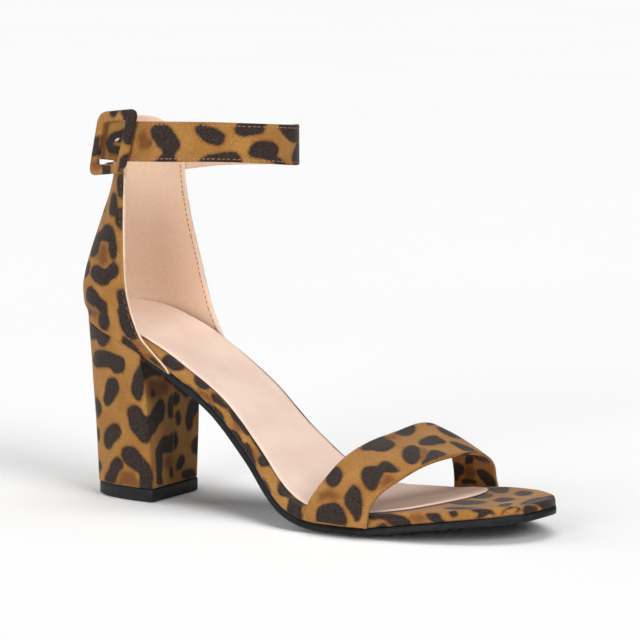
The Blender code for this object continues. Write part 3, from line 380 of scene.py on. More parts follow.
# Spots read from the photograph: corners of each outline, as u, v, u, v ... in tenths of a mm
CHART = {
    "heel_counter.spot": (
        (241, 1314, 261, 1323, 286, 1321, 319, 1238, 294, 1236, 258, 1270),
        (234, 1249, 260, 1246, 284, 1231, 314, 1193, 344, 1191, 386, 1112, 368, 1111, 335, 1133, 314, 1160,
        283, 1157, 253, 1176, 229, 1219, 227, 1241),
        # A thin dark sliver at the back's edge, where the counter turns from view: painted shade, not a spot
        # of the print
        (149, 1220, 206, 1175, 176, 1164, 143, 1194),
        (274, 1124, 301, 1124, 331, 1113, 350, 1097, 391, 1045, 406, 1019, 408, 990, 383, 989, 361, 1016,
        340, 1049, 323, 1055, 280, 1052, 285, 1027, 288, 1010, 277, 996, 250, 986, 204, 991, 163, 1014,
        180, 1044, 187, 1068, 211, 1085, 241, 1094, 255, 1114),
        (299, 959, 331, 956, 358, 946, 379, 952, 390, 969, 411, 978, 434, 965, 448, 944, 447, 920, 419, 903,
        407, 886, 376, 877, 340, 885, 306, 898, 278, 914, 273, 934, 284, 951),
        (228, 966, 255, 950, 259, 928, 250, 909, 221, 899, 178, 899, 185, 933, 197, 959),
        (291, 870, 315, 869, 344, 850, 370, 829, 393, 822, 404, 801, 387, 764, 390, 735, 381, 706, 364, 698,
        339, 701, 320, 718, 318, 745, 339, 765, 336, 781, 290, 793, 249, 808, 247, 835, 271, 860),
        (231, 771, 263, 766, 238, 746, 199, 751),
        (462, 865, 480, 874, 497, 870, 504, 837, 510, 802, 507, 758, 523, 710, 539, 684, 523, 674, 506, 671,
        478, 682, 453, 707, 443, 733, 444, 755, 446, 777, 464, 805, 456, 835, 455, 853),
        (455, 679, 475, 682, 505, 664, 537, 640, 558, 618, 578, 592, 558, 601, 521, 616, 479, 637,
        453, 660),
        (590, 609, 609, 613, 631, 602, 652, 586, 681, 559, 682, 557, 652, 572, 617, 585, 590, 600),
    ),
    "heel_counter.brown": (
        (277, 1050, 327, 1054, 361, 1016, 381, 988, 376, 972, 360, 956, 333, 958, 299, 973, 270, 979,
        259, 986, 286, 1005, 286, 1026),
        (250, 800, 289, 791, 333, 777, 336, 766, 313, 740, 284, 732, 245, 756, 232, 775),
        (525, 672, 551, 661, 577, 635, 604, 609, 593, 590, 563, 614, 536, 644, 505, 666),
    ),
    "heel_block.spot": (
        (223, 725, 273, 709, 312, 694, 351, 685, 379, 676, 372, 659, 340, 638, 301, 625, 273, 636, 265, 652,
        206, 641, 176, 651, 192, 681, 218, 712),
        (199, 577, 234, 600, 290, 610, 347, 609, 395, 600, 429, 592, 431, 564, 411, 536, 379, 523, 344, 522,
        324, 538, 296, 540, 251, 533, 201, 531, 177, 552),
        (315, 499, 345, 502, 361, 485, 357, 453, 331, 423, 297, 392, 271, 378, 247, 382, 239, 403, 256, 433,
        277, 472, 294, 489),
        (163, 403, 202, 391, 217, 369, 204, 340, 160, 316, 146, 338, 141, 374),
        (294, 310, 320, 308, 333, 291, 327, 264, 300, 242, 277, 226, 245, 197, 216, 200, 205, 227, 216, 260,
        242, 286, 269, 302),
        (142, 275, 168, 263, 162, 225, 141, 218, 126, 248),
        (533, 590, 567, 578, 604, 567, 639, 553, 669, 529, 694, 508, 645, 506, 618, 515, 575, 513, 537, 508,
        512, 493, 500, 465, 483, 436, 464, 417, 441, 424, 431, 446, 431, 473, 452, 506, 482, 542, 514, 569),
        (552, 459, 568, 459, 580, 446, 572, 430, 552, 429, 544, 443),
        (392, 383, 416, 397, 447, 397, 467, 383, 481, 359, 511, 361, 538, 380, 569, 400, 601, 414, 625, 408,
        634, 382, 623, 350, 599, 325, 559, 307, 536, 287, 499, 274, 481, 253, 449, 243, 430, 251, 408, 276,
        386, 301, 384, 337, 384, 365),
        (329, 213, 355, 223, 393, 222, 413, 208, 433, 187, 456, 162, 466, 133, 466, 96, 453, 51, 420, 49,
        393, 52, 399, 92, 397, 115, 370, 130, 341, 142, 320, 162, 313, 184),
        (274, 168, 301, 169, 318, 153, 317, 130, 291, 109, 274, 88, 255, 59, 224, 55, 181, 56, 186, 82,
        217, 109, 239, 139),
        (136, 138, 160, 125, 155, 100, 121, 86, 114, 110),
        (694, 508, 738, 480, 727, 452, 697, 469, 670, 494),
        (-677, 476, -607, 443, -535, 406, -566, 394, -618, 421, -670, 447),
        (672, 404, 700, 419, 714, 411, 687, 338, 657, 321, 643, 342, 655, 379),
        (-667, 421, -651, 425, -620, 407, -616, 380, -658, 374),
        (-638, 343, -611, 344, -594, 314, -599, 290, -622, 289, -637, 315),
        (-509, 384, -462, 365, -448, 336, -475, 312, -494, 297, -499, 266, -518, 251, -549, 273, -558, 310,
        -549, 340, -534, 369),
        (580, 257, 631, 255, 663, 260, 645, 191, 595, 185, 563, 189, 553, 149, 535, 104, 535, 67, 492, 69,
        498, 110, 503, 156, 511, 207, 538, 230),
        (-640, 264, -615, 250, -602, 223, -615, 197, -628, 190),
        (-567, 163, -543, 147, -543, 125, -568, 105, -597, 105, -604, 124, -591, 149),
        # A low dark strip at the foot of the breast, near its medial corner: painted shade, not a spot of the
        # print
        (-554, 91, -492, 94, -450, 80, -447, 59, -534, 60),
        (599, 122, 623, 122, 618, 85, 594, 80),
    ),
    "heel_block.brown": (
        (313, 124, 369, 122, 391, 96, 387, 54, 308, 49, 260, 52, 290, 104),
        (543, 503, 588, 501, 641, 498, 692, 474, 672, 425, 606, 417, 544, 417, 513, 439),
        (569, 177, 631, 176, 620, 127, 586, 115, 560, 136),
    ),
    "footbed.spot": (
        (740, -253, 742, -207, 784, -208, 819, -204, 838, -237, 816, -271, 788, -278, 765, -279, 743, -269),
        (896, -228, 884, -193, 918, -191, 955, -196, 971, -233, 957, -247, 938, -255, 914, -250),
        (878, -309, 900, -281, 928, -281, 956, -284, 981, -304, 974, -326, 941, -328, 903, -326),
        (998, -239, 998, -205, 1035, -205, 1076, -206, 1074, -236, 1046, -247, 1025, -258),
        (1006, -293, 1034, -274, 1066, -267, 1094, -275, 1112, -304, 1081, -325, 1046, -326, 1018, -326),
        (1071, -206, 1104, -199, 1137, -199, 1175, -206, 1213, -208, 1222, -237, 1190, -239, 1157, -239,
        1112, -236),
        (1133, -305, 1165, -273, 1188, -270, 1217, -280, 1237, -308, 1210, -326, 1175, -325, 1143, -325),
        (1237, -279, 1263, -265, 1292, -285, 1319, -305, 1334, -334, 1298, -357, 1261, -346, 1231, -328,
        1229, -302),
        (1215, -213, 1261, -215, 1304, -225, 1339, -237, 1381, -257, 1371, -303, 1344, -304, 1327, -282,
        1325, -255, 1293, -244, 1252, -233),
        (1366, -361, 1411, -342, 1447, -355, 1471, -377, 1439, -400, 1391, -389),
        (1480, -300, 1478, -279, 1529, -294, 1580, -318, 1583, -347, 1549, -368, 1515, -352, 1495, -322),
        (1591, -357, 1588, -324, 1649, -329, 1710, -416, 1692, -454, 1645, -453, 1612, -436, 1609, -390),
        (2170, 139, 2181, 194, 2242, 178, 2280, 88, 2239, 62, 2194, 91),
        (2150, 310, 2172, 331, 2234, 313, 2272, 229, 2254, 204, 2207, 236),
        (2201, -29, 2213, 14, 2267, 16, 2328, -10, 2334, -62, 2282, -97, 2222, -81, 2189, -47),
        (2339, 28, 2321, 95, 2354, 106, 2402, 82, 2414, 33, 2393, -6),
        (2317, 222, 2316, 261, 2352, 259, 2393, 228, 2411, 178, 2386, 153, 2347, 178),
        (2429, -82, 2432, -40, 2466, -40, 2488, -112, 2461, -123),
        (2246, -183, 2276, -151, 2345, -153, 2436, -192, 2391, -227, 2308, -222),
        (2495, -14, 2478, 87, 2499, 128, 2531, 143, 2561, 172, 2593, 145, 2635, 116, 2652, 19, 2655, -16,
        2621, -40, 2599, -52, 2568, -71, 2532, -83),
        (2562, -98, 2586, -74, 2610, -61, 2639, -72, 2652, -95, 2632, -128, 2598, -136, 2574, -121),
        (2527, -195, 2543, -165, 2559, -134, 2578, -142, 2577, -170, 2559, -145, 2526, -156, 2536, -215),
        (2408, -255, 2427, -223, 2480, -218, 2504, -228, 2511, -235, 2487, -242, 2470, -278, 2454, -287,
        2450, -260, 2432, -259),
        (2341, -295, 2354, -275, 2375, -291, 2378, -307, 2364, -318, 2347, -310),
        (2259, -340, 2282, -323, 2307, -320, 2322, -335, 2342, -347, 2360, -360, 2330, -375, 2305, -370,
        2277, -355),
        (1969, -300, 2044, -321, 2138, -361, 2172, -367, 2205, -382, 2213, -407, 2171, -416, 2137, -415,
        2105, -395, 2072, -389, 2036, -392),
        (2061, -426, 2083, -407, 2105, -409, 2107, -434, 2068, -437),
        (764, 225, 764, 225, 791, 229, 853, 210, 906, 186, 889, 178, 813, 188, 764, 225),
        (940, 197, 989, 192, 1041, 182, 1093, 175, 1077, 159, 1007, 165, 960, 170),
        (1121, 193, 1159, 205, 1210, 199, 1252, 175, 1213, 163, 1159, 163),
        (1344, 206, 1369, 245, 1396, 258, 1428, 252, 1416, 190, 1380, 179),
    ),
    "footbed.brown": (
        (918, -251, 955, -250, 992, -239, 1029, -253, 1017, -282, 980, -286, 944, -278),
        (1122, -239, 1148, -225, 1197, -243, 1186, -274, 1152, -274),
        (1272, -269, 1304, -267, 1338, -288, 1321, -312, 1288, -297),
        (2200, -358, 2253, -339, 2275, -361, 2247, -390, 2213, -385),
    ),
    "toe_strap.spot": (
        (224, -6, 240, 7, 227, 41, 203, 71, 177, 85, 153, 90, 143, 76, 144, 51, 164, 14, 184, 0),
        (43, 57, 60, 66, 73, 89, 83, 125, 74, 163, 47, 194, 15, 206, -14, 191, -22, 153, -25, 105, -20, 70,
        17, 59),
        (163, 149, 170, 160, 160, 191, 134, 226, 98, 255, 63, 267, 30, 258, 26, 243, 47, 225, 73, 191,
        98, 167, 120, 155, 141, 152),
        (233, 136, 266, 125, 280, 139, 290, 162, 319, 159, 335, 172, 327, 203, 312, 240, 294, 257, 278, 243,
        269, 216, 246, 225, 221, 238, 186, 259, 163, 258, 168, 222, 193, 178),
        (379, 17, 440, -2, 490, -6, 518, 4, 504, 49, 481, 93, 445, 116, 402, 119, 385, 102, 382, 73,
        368, 43),
        (583, 13, 644, -12, 683, -9, 691, 8, 661, 45, 614, 67, 581, 69, 573, 43),
        (563, 142, 609, 126, 647, 122, 674, 133, 672, 162, 668, 189, 644, 203, 606, 199, 570, 194, 542, 178,
        544, 160),
        (406, 187, 450, 158, 491, 147, 514, 159, 503, 188, 460, 227, 416, 258, 374, 270, 360, 252,
        378, 216),
        (471, 247, 524, 227, 550, 240, 556, 267, 551, 283, 512, 288, 466, 290, 426, 290, 390, 290, 404, 274,
        440, 264),
        (756, 61, 807, 45, 828, 70, 817, 123, 790, 173, 740, 175, 726, 145, 731, 104),
        (750, 14, 797, -5, 817, 3, 758, 38, 737, 34),
        (683, 200, 713, 212, 733, 237, 756, 263, 749, 289, 758, 290, 706, 290, 672, 278, 672, 244,
        671, 212),
    ),
    "toe_strap.brown": (
        (508, 12, 547, 12, 583, 13, 564, 51, 524, 73, 503, 58),
        (518, 182, 523, 210, 472, 248, 428, 262, 452, 233),
        (112, 20, 131, 57, 133, 98, 108, 138, 90, 130, 82, 79, 70, 50),
        (223, 235, 259, 222, 266, 252, 247, 288, 212, 290, 178, 287, 188, 263),
    ),
    "toe_strap_inner.spot": (
        (987, 16, 986, 59, 1002, 78, 1028, 65, 1045, 34, 1059, 18, 1053, -17, 1021, -3),
        (663, 290, 703, 290, 943, 155, 971, 138, 976, 115, 959, 97),
        (913, 177, 776, 320, 833, 320, 867, 320, 912, 261, 927, 208),
        (992, 165, 979, 215, 984, 256, 1014, 291, 1053, 292, 1062, 237, 1045, 200, 1021, 174),
        (1055, 52, 1047, 93, 1046, 141, 1062, 145, 1069, 58),
    ),
    "toe_strap_inner.brown": (
        (992, 77, 977, 136, 1015, 155, 1042, 135, 1044, 80),
    ),
    "ankle_strap.spot": (
        (322, 44, 341, 63, 379, 72, 413, 62, 433, 41, 449, 15, 463, -9, 453, -30, 439, -45, 438, -58,
        449, -87, 388, -88, 331, -88, 357, -64, 378, -49, 375, -32, 354, -18, 344, 1, 326, 18),
        (526, 57, 545, 71, 576, 62, 606, 54, 630, 40, 643, 21, 635, -1, 617, -14, 589, -9, 561, 4, 539, 24,
        527, 42),
        (677, 56, 685, 72, 706, 85, 752, 87, 795, 88, 796, 69, 787, 46, 767, 35, 737, 29, 710, 26, 691, 30,
        679, 41),
        (536, -92, 548, -67, 575, -50, 614, -43, 651, -36, 683, -38, 697, -53, 696, -89, 596, -94),
        (727, -35, 739, -8, 767, 9, 802, 14, 833, 5, 854, -16, 850, -36, 846, -49, 869, -59, 897, -84,
        854, -85, 817, -70, 787, -60, 753, -58, 733, -51),
        (860, 89, 892, 93, 1041, 91, 1037, 43, 1014, 16, 933, 9, 899, 21, 874, 43, 856, 62),
        (967, 7, 1035, 7, 1031, -89, 941, -83, 924, -51, 937, -19),
        (195, 49, 146, 41, 94, 25, 61, -3, 60, -32, 85, -51, 135, -54, 193, -43, 193, -18, 145, -19,
        116, -17, 112, -9, 145, -2, 193, -1),
        (315, -6, 320, 0, 326, -7, 321, -15),
    ),
    "ankle_strap.brown": (
        (254, 23, 275, 44, 301, 43, 312, 24, 333, 10, 330, -21, 293, -36, 263, -30, 250, -2),
        (80, -57, 121, -50, 162, -52, 159, -68, 120, -74, 82, -68),
        (869, -53, 899, -65, 918, -83, 878, -84, 849, -67),
    ),
    "buckle_frame.spot": (
        (-42, 160, -2, 160, 31, 160, 11, 116, -5, 107, -28, 121),
        (-140, 26, -79, 33, -72, 27, -72, -11, -72, -50, -140, -52, -140, -25, -140, 1),
        (-46, -85, 6, -96, 44, -102, 45, -160, 15, -160, -24, -160, -4, -116),
        (39, 124, 12, 160, 42, 160, 52, 160, 93, 160, 140, 83, 140, 29, 140, -8, 140, -31, 140, -37,
        140, -31, 83, 3, 72, 46, 63, 83, 55, 105),
        (95, -112, 97, -70, 140, -42, 140, -55, 140, -91, 101, -124, 89, -160),
    ),
    "buckle_frame.brown": (
        (-140, -73, -72, -71, -26, -98, -39, -119, -88, -104),
    ),
}

# How far a sheet's edge is rounded
ROUND = 0.25
# The world's light, on its weakest and on its strongest side
WORLD_LOW, WORLD_HIGH = 0.4, 1.5
# The generated spots: the first seed, and how many places are tried
SEED = 7
TRIES = 1400
# Distances to a spot's outline aren't followed beyond this
REACH = 6.0
# Numbers of points along the surfaces
HEEL_LEVELS, HEEL_SIDE, HEEL_TURN, HEEL_FRONT = 64, 60, 7, 14
COUNTER_AROUND, COUNTER_UP, COUNTER_PLAN, SEAM_STEPS = 97, 84, 60, 22
# The seam down the middle of the heel's breast
GROOVE_DEPTH, GROOVE_WIDTH = 0.3, 0.8
# Edge profiles as (inset, share of the layer's height), finer than the solids'
FOOTBED_EDGE = (
    (0.5, 0.0), (0.05, 0.16), (0.0, 0.3), (0.0, 0.42), (0.08, 0.58),
    (0.25, 0.74), (0.55, 0.85), (1.0, 0.93), (1.7, 0.98), (2.6, 1.0),
)
INSOLE_EDGE = ((0.25, 0.0), (0.0, 0.4), (0.12, 0.7), (0.3, 0.85), (0.9, 1.0))
# The heel tip's wall as (height, how far it stands out)
TIP_EDGE = (
    (0.0, -0.7), (0.12, -0.45), (0.5, 0.0),
    (TIP_THICK - 0.4, 0.0), (TIP_THICK - 0.1, -0.12), (TIP_THICK, -0.4),
)
# The buckle's section as (pinch, share of its depth)
BUCKLE_EDGE = ((0.6, 0.0), (0.12, 0.12), (0.0, 0.3), (0.0, 0.62), (0.22, 0.84), (0.7, 0.96), (1.4, 1.0))
TOE_STRAP_WIDE = 29.0
# Stitches: how far they are from the edge, how far from one to the next, and how long
STITCH_INSET, COUNTER_STITCH_INSET = 1.25, 1.9
STITCH_PITCH, STITCH_LENGTH = 2.05, 1.35
STRAP_WIDE = 16.0


def unit(vectors):
    return vectors / (np.linalg.norm(vectors, axis=-1, keepdims=True) + 1e-12)


def smooth_loop(corners, steps=5):
    """A closed curve through the corners, as short straight runs."""
    corners = np.asarray(corners, float)
    before, after, last = np.roll(corners, 1, 0), np.roll(corners, -1, 0), np.roll(corners, -2, 0)
    t = np.linspace(0, 1, steps, endpoint=False)[None, :, None]
    a, b, c, d = (p[:, None, :] for p in (before, corners, after, last))
    curve = 0.5 * (2 * b + (c - a) * t + (2 * a - 5 * b + 4 * c - d) * t**2 + (3 * b - a - 3 * c + d) * t**3)
    return curve.reshape(-1, 2)


def distance_to(points, outlines):
    """Distance in mm from each point to the nearest outline: below zero inside it, and at most REACH."""
    best = np.full(len(points), REACH)
    for corners in outlines:
        loop = smooth_loop(corners)
        low, high = loop.min(0) - REACH, loop.max(0) + REACH
        near = np.where(np.all((points > low) & (points < high), axis=1))[0]
        if len(near) == 0:
            continue
        p = points[near][:, None, :]
        a, b = loop[None], np.roll(loop, -1, 0)[None]
        run = b - a
        t = np.clip(((p - a) * run).sum(-1) / ((run * run).sum(-1) + 1e-12), 0, 1)
        gap = np.linalg.norm(p - a - t[..., None] * run, axis=-1).min(1)
        straddles = (a[..., 1] > p[..., 1]) != (b[..., 1] > p[..., 1])
        rise = np.where(np.abs(run[..., 1]) < 1e-9, 1e-9, run[..., 1])
        crosses = straddles & (p[..., 0] < a[..., 0] + (p[..., 1] - a[..., 1]) / rise * run[..., 0])
        inside = crosses.sum(1) % 2 == 1
        best[near] = np.minimum(best[near], np.where(inside, -gap, gap))
    return best


def charted(key):
    """The charted outlines of this name, as corners (u, v) in mm."""
    return [np.reshape(corners, (-1, 2)) / 10 for corners in CHART.get(key, ())]


def scatter(area, taken, keep_off, seed, size=(3.2, 6.6), gap=1.8):
    """Blobs for a side that the photograph doesn't show, clear of the charted ones and of each other."""
    dice = np.random.default_rng(seed)
    low_u, high_u, low_v, high_v = area
    placed = [(np.mean(o, 0), np.ptp(np.asarray(o, float), 0).max() / 2) for o in taken]
    blobs = []
    for _ in range(TRIES):
        u, v = dice.uniform(low_u, high_u), dice.uniform(low_v, high_v)
        radius = dice.uniform(*size)
        turn, pull = dice.uniform(0, math.pi), dice.uniform(0.1, 0.42)
        lobe, phase = dice.uniform(0, 0.2), dice.uniform(0, 6.3)
        if any(a < u < b and c < v < d for a, b, c, d in keep_off):
            continue
        if any(math.hypot(u - c[0], v - c[1]) < radius + r + gap for c, r in placed):
            continue
        angle = np.linspace(0, 2 * math.pi, 12, endpoint=False)
        r = radius * (1 + pull * np.cos(2 * (angle - turn)) + lobe * np.cos(3 * angle + phase))
        blobs.append(np.stack([u + r * np.cos(angle), v + r * np.sin(angle)], axis=1))
        placed.append((np.array((u, v)), radius * (1 + pull * 0.6)))
    return blobs


def store(mesh, key, values):
    mesh.attributes.new(key, "FLOAT", "POINT").data.foreach_set("value", np.asarray(values, np.float32))


def stored(mesh, key):
    values = np.zeros(len(mesh.vertices), np.float32)
    mesh.attributes[key].data.foreach_get("value", values)
    return values


def build(
    name, points, faces, uv, kinds, materials, node, side=None, free=(), inner_free=(), weld=False
):
    """One piece: points in mm, surface coordinates uv in mm, and each face's material."""
    moved = (np.asarray(points, float) - (ORIGIN_X, 0, 0)) * MM
    mesh = bpy.data.meshes.new(name)
    mesh.from_pydata(moved.tolist(), [], [tuple(int(i) for i in f) for f in faces])
    side = np.zeros(len(points)) if side is None else side
    for key, values in (("u", uv[:, 0]), ("v", uv[:, 1]), ("side", side)):
        store(mesh, key, values)
    mesh.polygons.foreach_set("material_index", np.asarray(kinds, np.int32))
    work = bmesh.new()
    work.from_mesh(mesh)
    if weld:
        bmesh.ops.remove_doubles(work, verts=work.verts, dist=2e-6)
        bmesh.ops.dissolve_degenerate(work, edges=work.edges, dist=1e-7)
    bmesh.ops.recalc_face_normals(work, faces=work.faces)
    work.to_mesh(mesh)
    work.free()
    at = np.stack([stored(mesh, "u"), stored(mesh, "v")], axis=1).astype(float)
    inner = stored(mesh, "side") > 0.5
    for key in ("spot", "brown"):
        field = np.full(len(at), REACH)
        for chosen, label, areas in ((~inner, name, free), (inner, name + "_inner", inner_free)):
            if not chosen.any():
                continue
            outlines = charted(label + "." + key)
            if key == "spot":
                taken = list(outlines)
                for k, (area, keep_off) in enumerate(areas):
                    outlines += scatter(area, taken, keep_off, SEED + 10 * k + len(label))
            field[chosen] = distance_to(at[chosen], outlines)
        store(mesh, key, field)
    for polygon in mesh.polygons:
        polygon.use_smooth = True
    for material in materials:
        mesh.materials.append(material)
    piece = bpy.data.objects.new(name + "_look", mesh)
    bpy.context.scene.collection.objects.link(piece)
    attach(piece, "root")
    if node:
        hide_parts(node)
    return piece


def grid_faces(first, rows, columns):
    i, j = np.meshgrid(np.arange(rows - 1), np.arange(columns - 1), indexing="ij")
    a = (first + i * columns + j).ravel()
    return np.stack([a, a + 1, a + columns + 1, a + columns], axis=1).tolist()


def border_of(rows, columns):
    """Indices round the edge of a grid, in order."""
    loop = [i * columns for i in range(rows)]
    loop += [(rows - 1) * columns + j for j in range(1, columns)]
    loop += [i * columns + columns - 1 for i in range(rows - 2, -1, -1)]
    return loop + list(range(columns - 2, 0, -1))


def ribbon(low, high):
    """Faces between two loops of indices."""
    low_next, high_next = low[1:] + low[:1], high[1:] + high[:1]
    return [(a, b, d, c) for a, b, c, d in zip(low, low_next, high, high_next, strict=True)]


def rows_of(levels, size):
    """The indices of each of several rings of this size."""
    return [list(range(k * size, (k + 1) * size)) for k in range(levels)]


def sheet(name, grid, uv, thick, toward, materials, edge_kind=1, free=(), inner_free=()):
    """A cloth or leather sheet with its outer face on the grid, rounded edges and an inner face."""
    rows, columns, _ = grid.shape
    along, across = unit(np.gradient(grid, axis=0)), unit(np.gradient(grid, axis=1))
    normal = unit(np.cross(along, across))
    if np.sum(normal * (np.asarray(toward) - grid)) < 0:
        normal = -normal
    push = np.zeros_like(grid)
    push[0] -= along[0]
    push[-1] += along[-1]
    push[:, 0] -= across[:, 0]
    push[:, -1] += across[:, -1]
    outer = grid - push * ROUND
    inner = outer + normal * thick
    loop = border_of(rows, columns)
    size, ring = rows * columns, len(loop)
    flat, inwards = grid.reshape(-1, 3), normal.reshape(-1, 3)
    points = [outer.reshape(-1, 3), inner.reshape(-1, 3)]
    points += [flat[loop] + inwards[loop] * ROUND, flat[loop] + inwards[loop] * (thick - ROUND)]
    near, far = list(range(2 * size, 2 * size + ring)), list(range(2 * size + ring, 2 * size + 2 * ring))
    sets = [grid_faces(0, rows, columns), ribbon(loop, near), ribbon(near, far)]
    sets += [ribbon(far, [i + size for i in loop]), grid_faces(size, rows, columns)]
    kinds = np.concatenate([[kind] * len(s) for s, kind in zip(sets, (0, 0, edge_kind, 1, 1), strict=True)])
    plan = uv.reshape(-1, 2)
    plans = np.concatenate([plan, plan, plan[loop], plan[loop]])
    side = np.concatenate([np.zeros(size), np.ones(size), np.zeros(ring), np.ones(ring)])
    faces = [f for s in sets for f in s]
    points = np.concatenate(points)
    return build(name, points, faces, plans, kinds, materials, name, side, free, inner_free)


def make_slab(name, pair, edge, low, high, columns, dish, materials, free=()):
    """A layer of the sole; its wall's surface coordinates unroll outwards from its top."""
    left, right = pair
    rungs = np.linspace(-1, 1, columns)
    along = np.linspace(0, 260, 521)
    slope = sole_rise(along + 0.5) - sole_rise(along - 0.5)
    run = np.concatenate([[0], np.cumsum(np.sqrt(1 + slope[1:] ** 2) * 0.5)])
    rows = len(left)
    middle = np.array([150.0])
    height_there = float(high(middle)[0] - low(middle)[0])

    def ladder(inset, share):
        a, b = inset_pair(left, right, inset)
        down = (1 - share) * height_there
        ua, ub = inset_pair(left, right, (inset if share > 0.3 else -inset) - down)
        place, plan_uv = [], []
        for rung in rungs:
            plan = a * (1 - rung) / 2 + b * (1 + rung) / 2
            unrolled = ua * (1 - rung) / 2 + ub * (1 + rung) / 2
            lower, upper = low(plan[:, 0]), high(plan[:, 0])
            height = lower + (upper - lower) * share
            if dish is not None:
                height = height - dish(plan[:, 0], plan[:, 1], share)
            place.append(above_sole(plan[:, 0], plan[:, 1], height))
            beyond = unrolled[:, 0] - np.clip(unrolled[:, 0], 0, 259)
            plan_uv.append(np.stack([np.interp(unrolled[:, 0], along, run) + beyond, unrolled[:, 1]], axis=1))
        return np.stack(place, axis=1).reshape(-1, 3), np.stack(plan_uv, axis=1).reshape(-1, 2)

    loop = border_of(rows, columns)
    points, plans, faces, kinds = [], [], [], []
    total, previous = 0, None
    for level, (inset, share) in enumerate(edge):
        place, plan_uv = ladder(inset, share)
        if level in (0, len(edge) - 1):
            faces += grid_faces(total, rows, columns)
            kinds += [1 if level == 0 else 0] * (rows - 1) * (columns - 1)
            current = [total + i for i in loop]
        else:
            place, plan_uv = place[loop], plan_uv[loop]
            current = list(range(total, total + len(loop)))
        points.append(place)
        plans.append(plan_uv)
        total += len(place)
        if previous:
            faces += ribbon(previous, current)
            kinds += [0] * len(loop)
        previous = current
    points, plans = np.concatenate(points), np.concatenate(plans)
    return build(name, points, faces, plans, kinds, materials, name, None, free, weld=True)


def inset_pair(left, right, inset):
    """The paired outline moved inwards by inset, or outwards where it is below zero."""
    closed_back = np.allclose(left[0], right[0])
    loop = np.concatenate([left, right[-2::-1]])
    if closed_back:
        loop = loop[:-1]
    along = np.roll(loop, -1, axis=0) - np.roll(loop, 1, axis=0)
    if not closed_back:
        along[0] = loop[1] - loop[0]
        along[-1] = loop[-1] - loop[-2]
    along /= np.linalg.norm(along, axis=1)[:, None]
    moved = loop + np.stack([-along[:, 1], along[:, 0]], axis=1) * inset
    tail = moved[len(left) - 1 :]
    new_right = np.concatenate([tail, moved[:1]])[::-1] if closed_back else tail[::-1]
    return moved[: len(left)], new_right


def at_zero(x):
    return 0 * x


def insole_base(x):
    return footbed_top(x) + SEAM_GAP


def insole_top(x):
    return footbed_top(x) + SEAM_GAP + INSOLE_THICK


def insole_dish(x, y, _share):
    """Both faces of the insole follow the heel seat."""
    return heel_dish(x, y, 1.0)


def dress_sole():
    columns, breast = SOLE_OUTLINE_COLUMNS, (BREAST_LATERAL, BREAST_MEDIAL)
    pair = outline(columns, SOLE_OUTLINE_ROWS, TOE_TIP, 150, ends=breast)
    both = [SOLE_RUBBER, SOLE_RUBBER]
    make_slab("outsole", pair, OUTSOLE_EDGE, at_zero, outsole_thick, 12, None, both)
    pair = outline(columns, SEAT_OUTLINE_ROWS + SOLE_OUTLINE_ROWS, TOE_TIP, 210, SEAT_BACK)
    free = [((60, 300, -70, 70), [(60, 300, -60, 2), (215, 300, -60, 40)])]
    both = [LEOPARD, LINING]
    make_slab(
        "footbed", pair, FOOTBED_EDGE, footbed_base, footbed_top, 60, heel_dish, both, free
    )
    pair = outline(INSOLE_OUTLINE_COLUMNS, INSOLE_OUTLINE_ROWS, INSOLE_TIP, 160, INSOLE_BACK)
    both = [SOCK, SOCK]
    make_slab("insole", pair, INSOLE_EDGE, insole_base, insole_top, 24, insole_dish, both)


def heel_half(back, breast, half_width, askew):
    """Lateral and medial halves of the heel's plan, from the middle of its back to that of its breast."""
    reach = breast - HEEL_CORNER - back
    side = bow(back, breast - HEEL_CORNER, half_width, HEEL_SQUARENESS, reach, HEEL_SIDE)
    turn = np.linspace(0, math.pi / 2, HEEL_TURN)[1:]
    x = breast - HEEL_CORNER + HEEL_CORNER * np.sin(turn)
    corner = np.stack([x, half_width - HEEL_CORNER + HEEL_CORNER * np.cos(turn)], axis=1)
    y = np.linspace(half_width - HEEL_CORNER, 0, HEEL_FRONT + 1)[1:]
    half = np.concatenate([side, corner, np.stack([np.full(HEEL_FRONT, breast), y], axis=1)])
    sides = []
    for sign in (-1, 1):
        plan = half * (1, sign)
        plan[:, 0] -= askew * plan[:, 1] / half_width * ease((plan[:, 0] - back) / (breast - back))
        sides.append(plan)
    return sides


def rim_height(plan, half_width):
    """Top of the heel: at the seam along its sides, and at the sole across its breast."""
    side = ease((np.abs(plan[:, 1]) - half_width + HEEL_CORNER) / HEEL_CORNER)
    side = np.where(np.arange(len(plan)) < HEEL_SIDE, 1.0, side)
    seat = sole_rise(plan[:, 0])
    return seat + (seam_height(plan[:, 0]) - SEAM_GAP / 2 - seat) * side


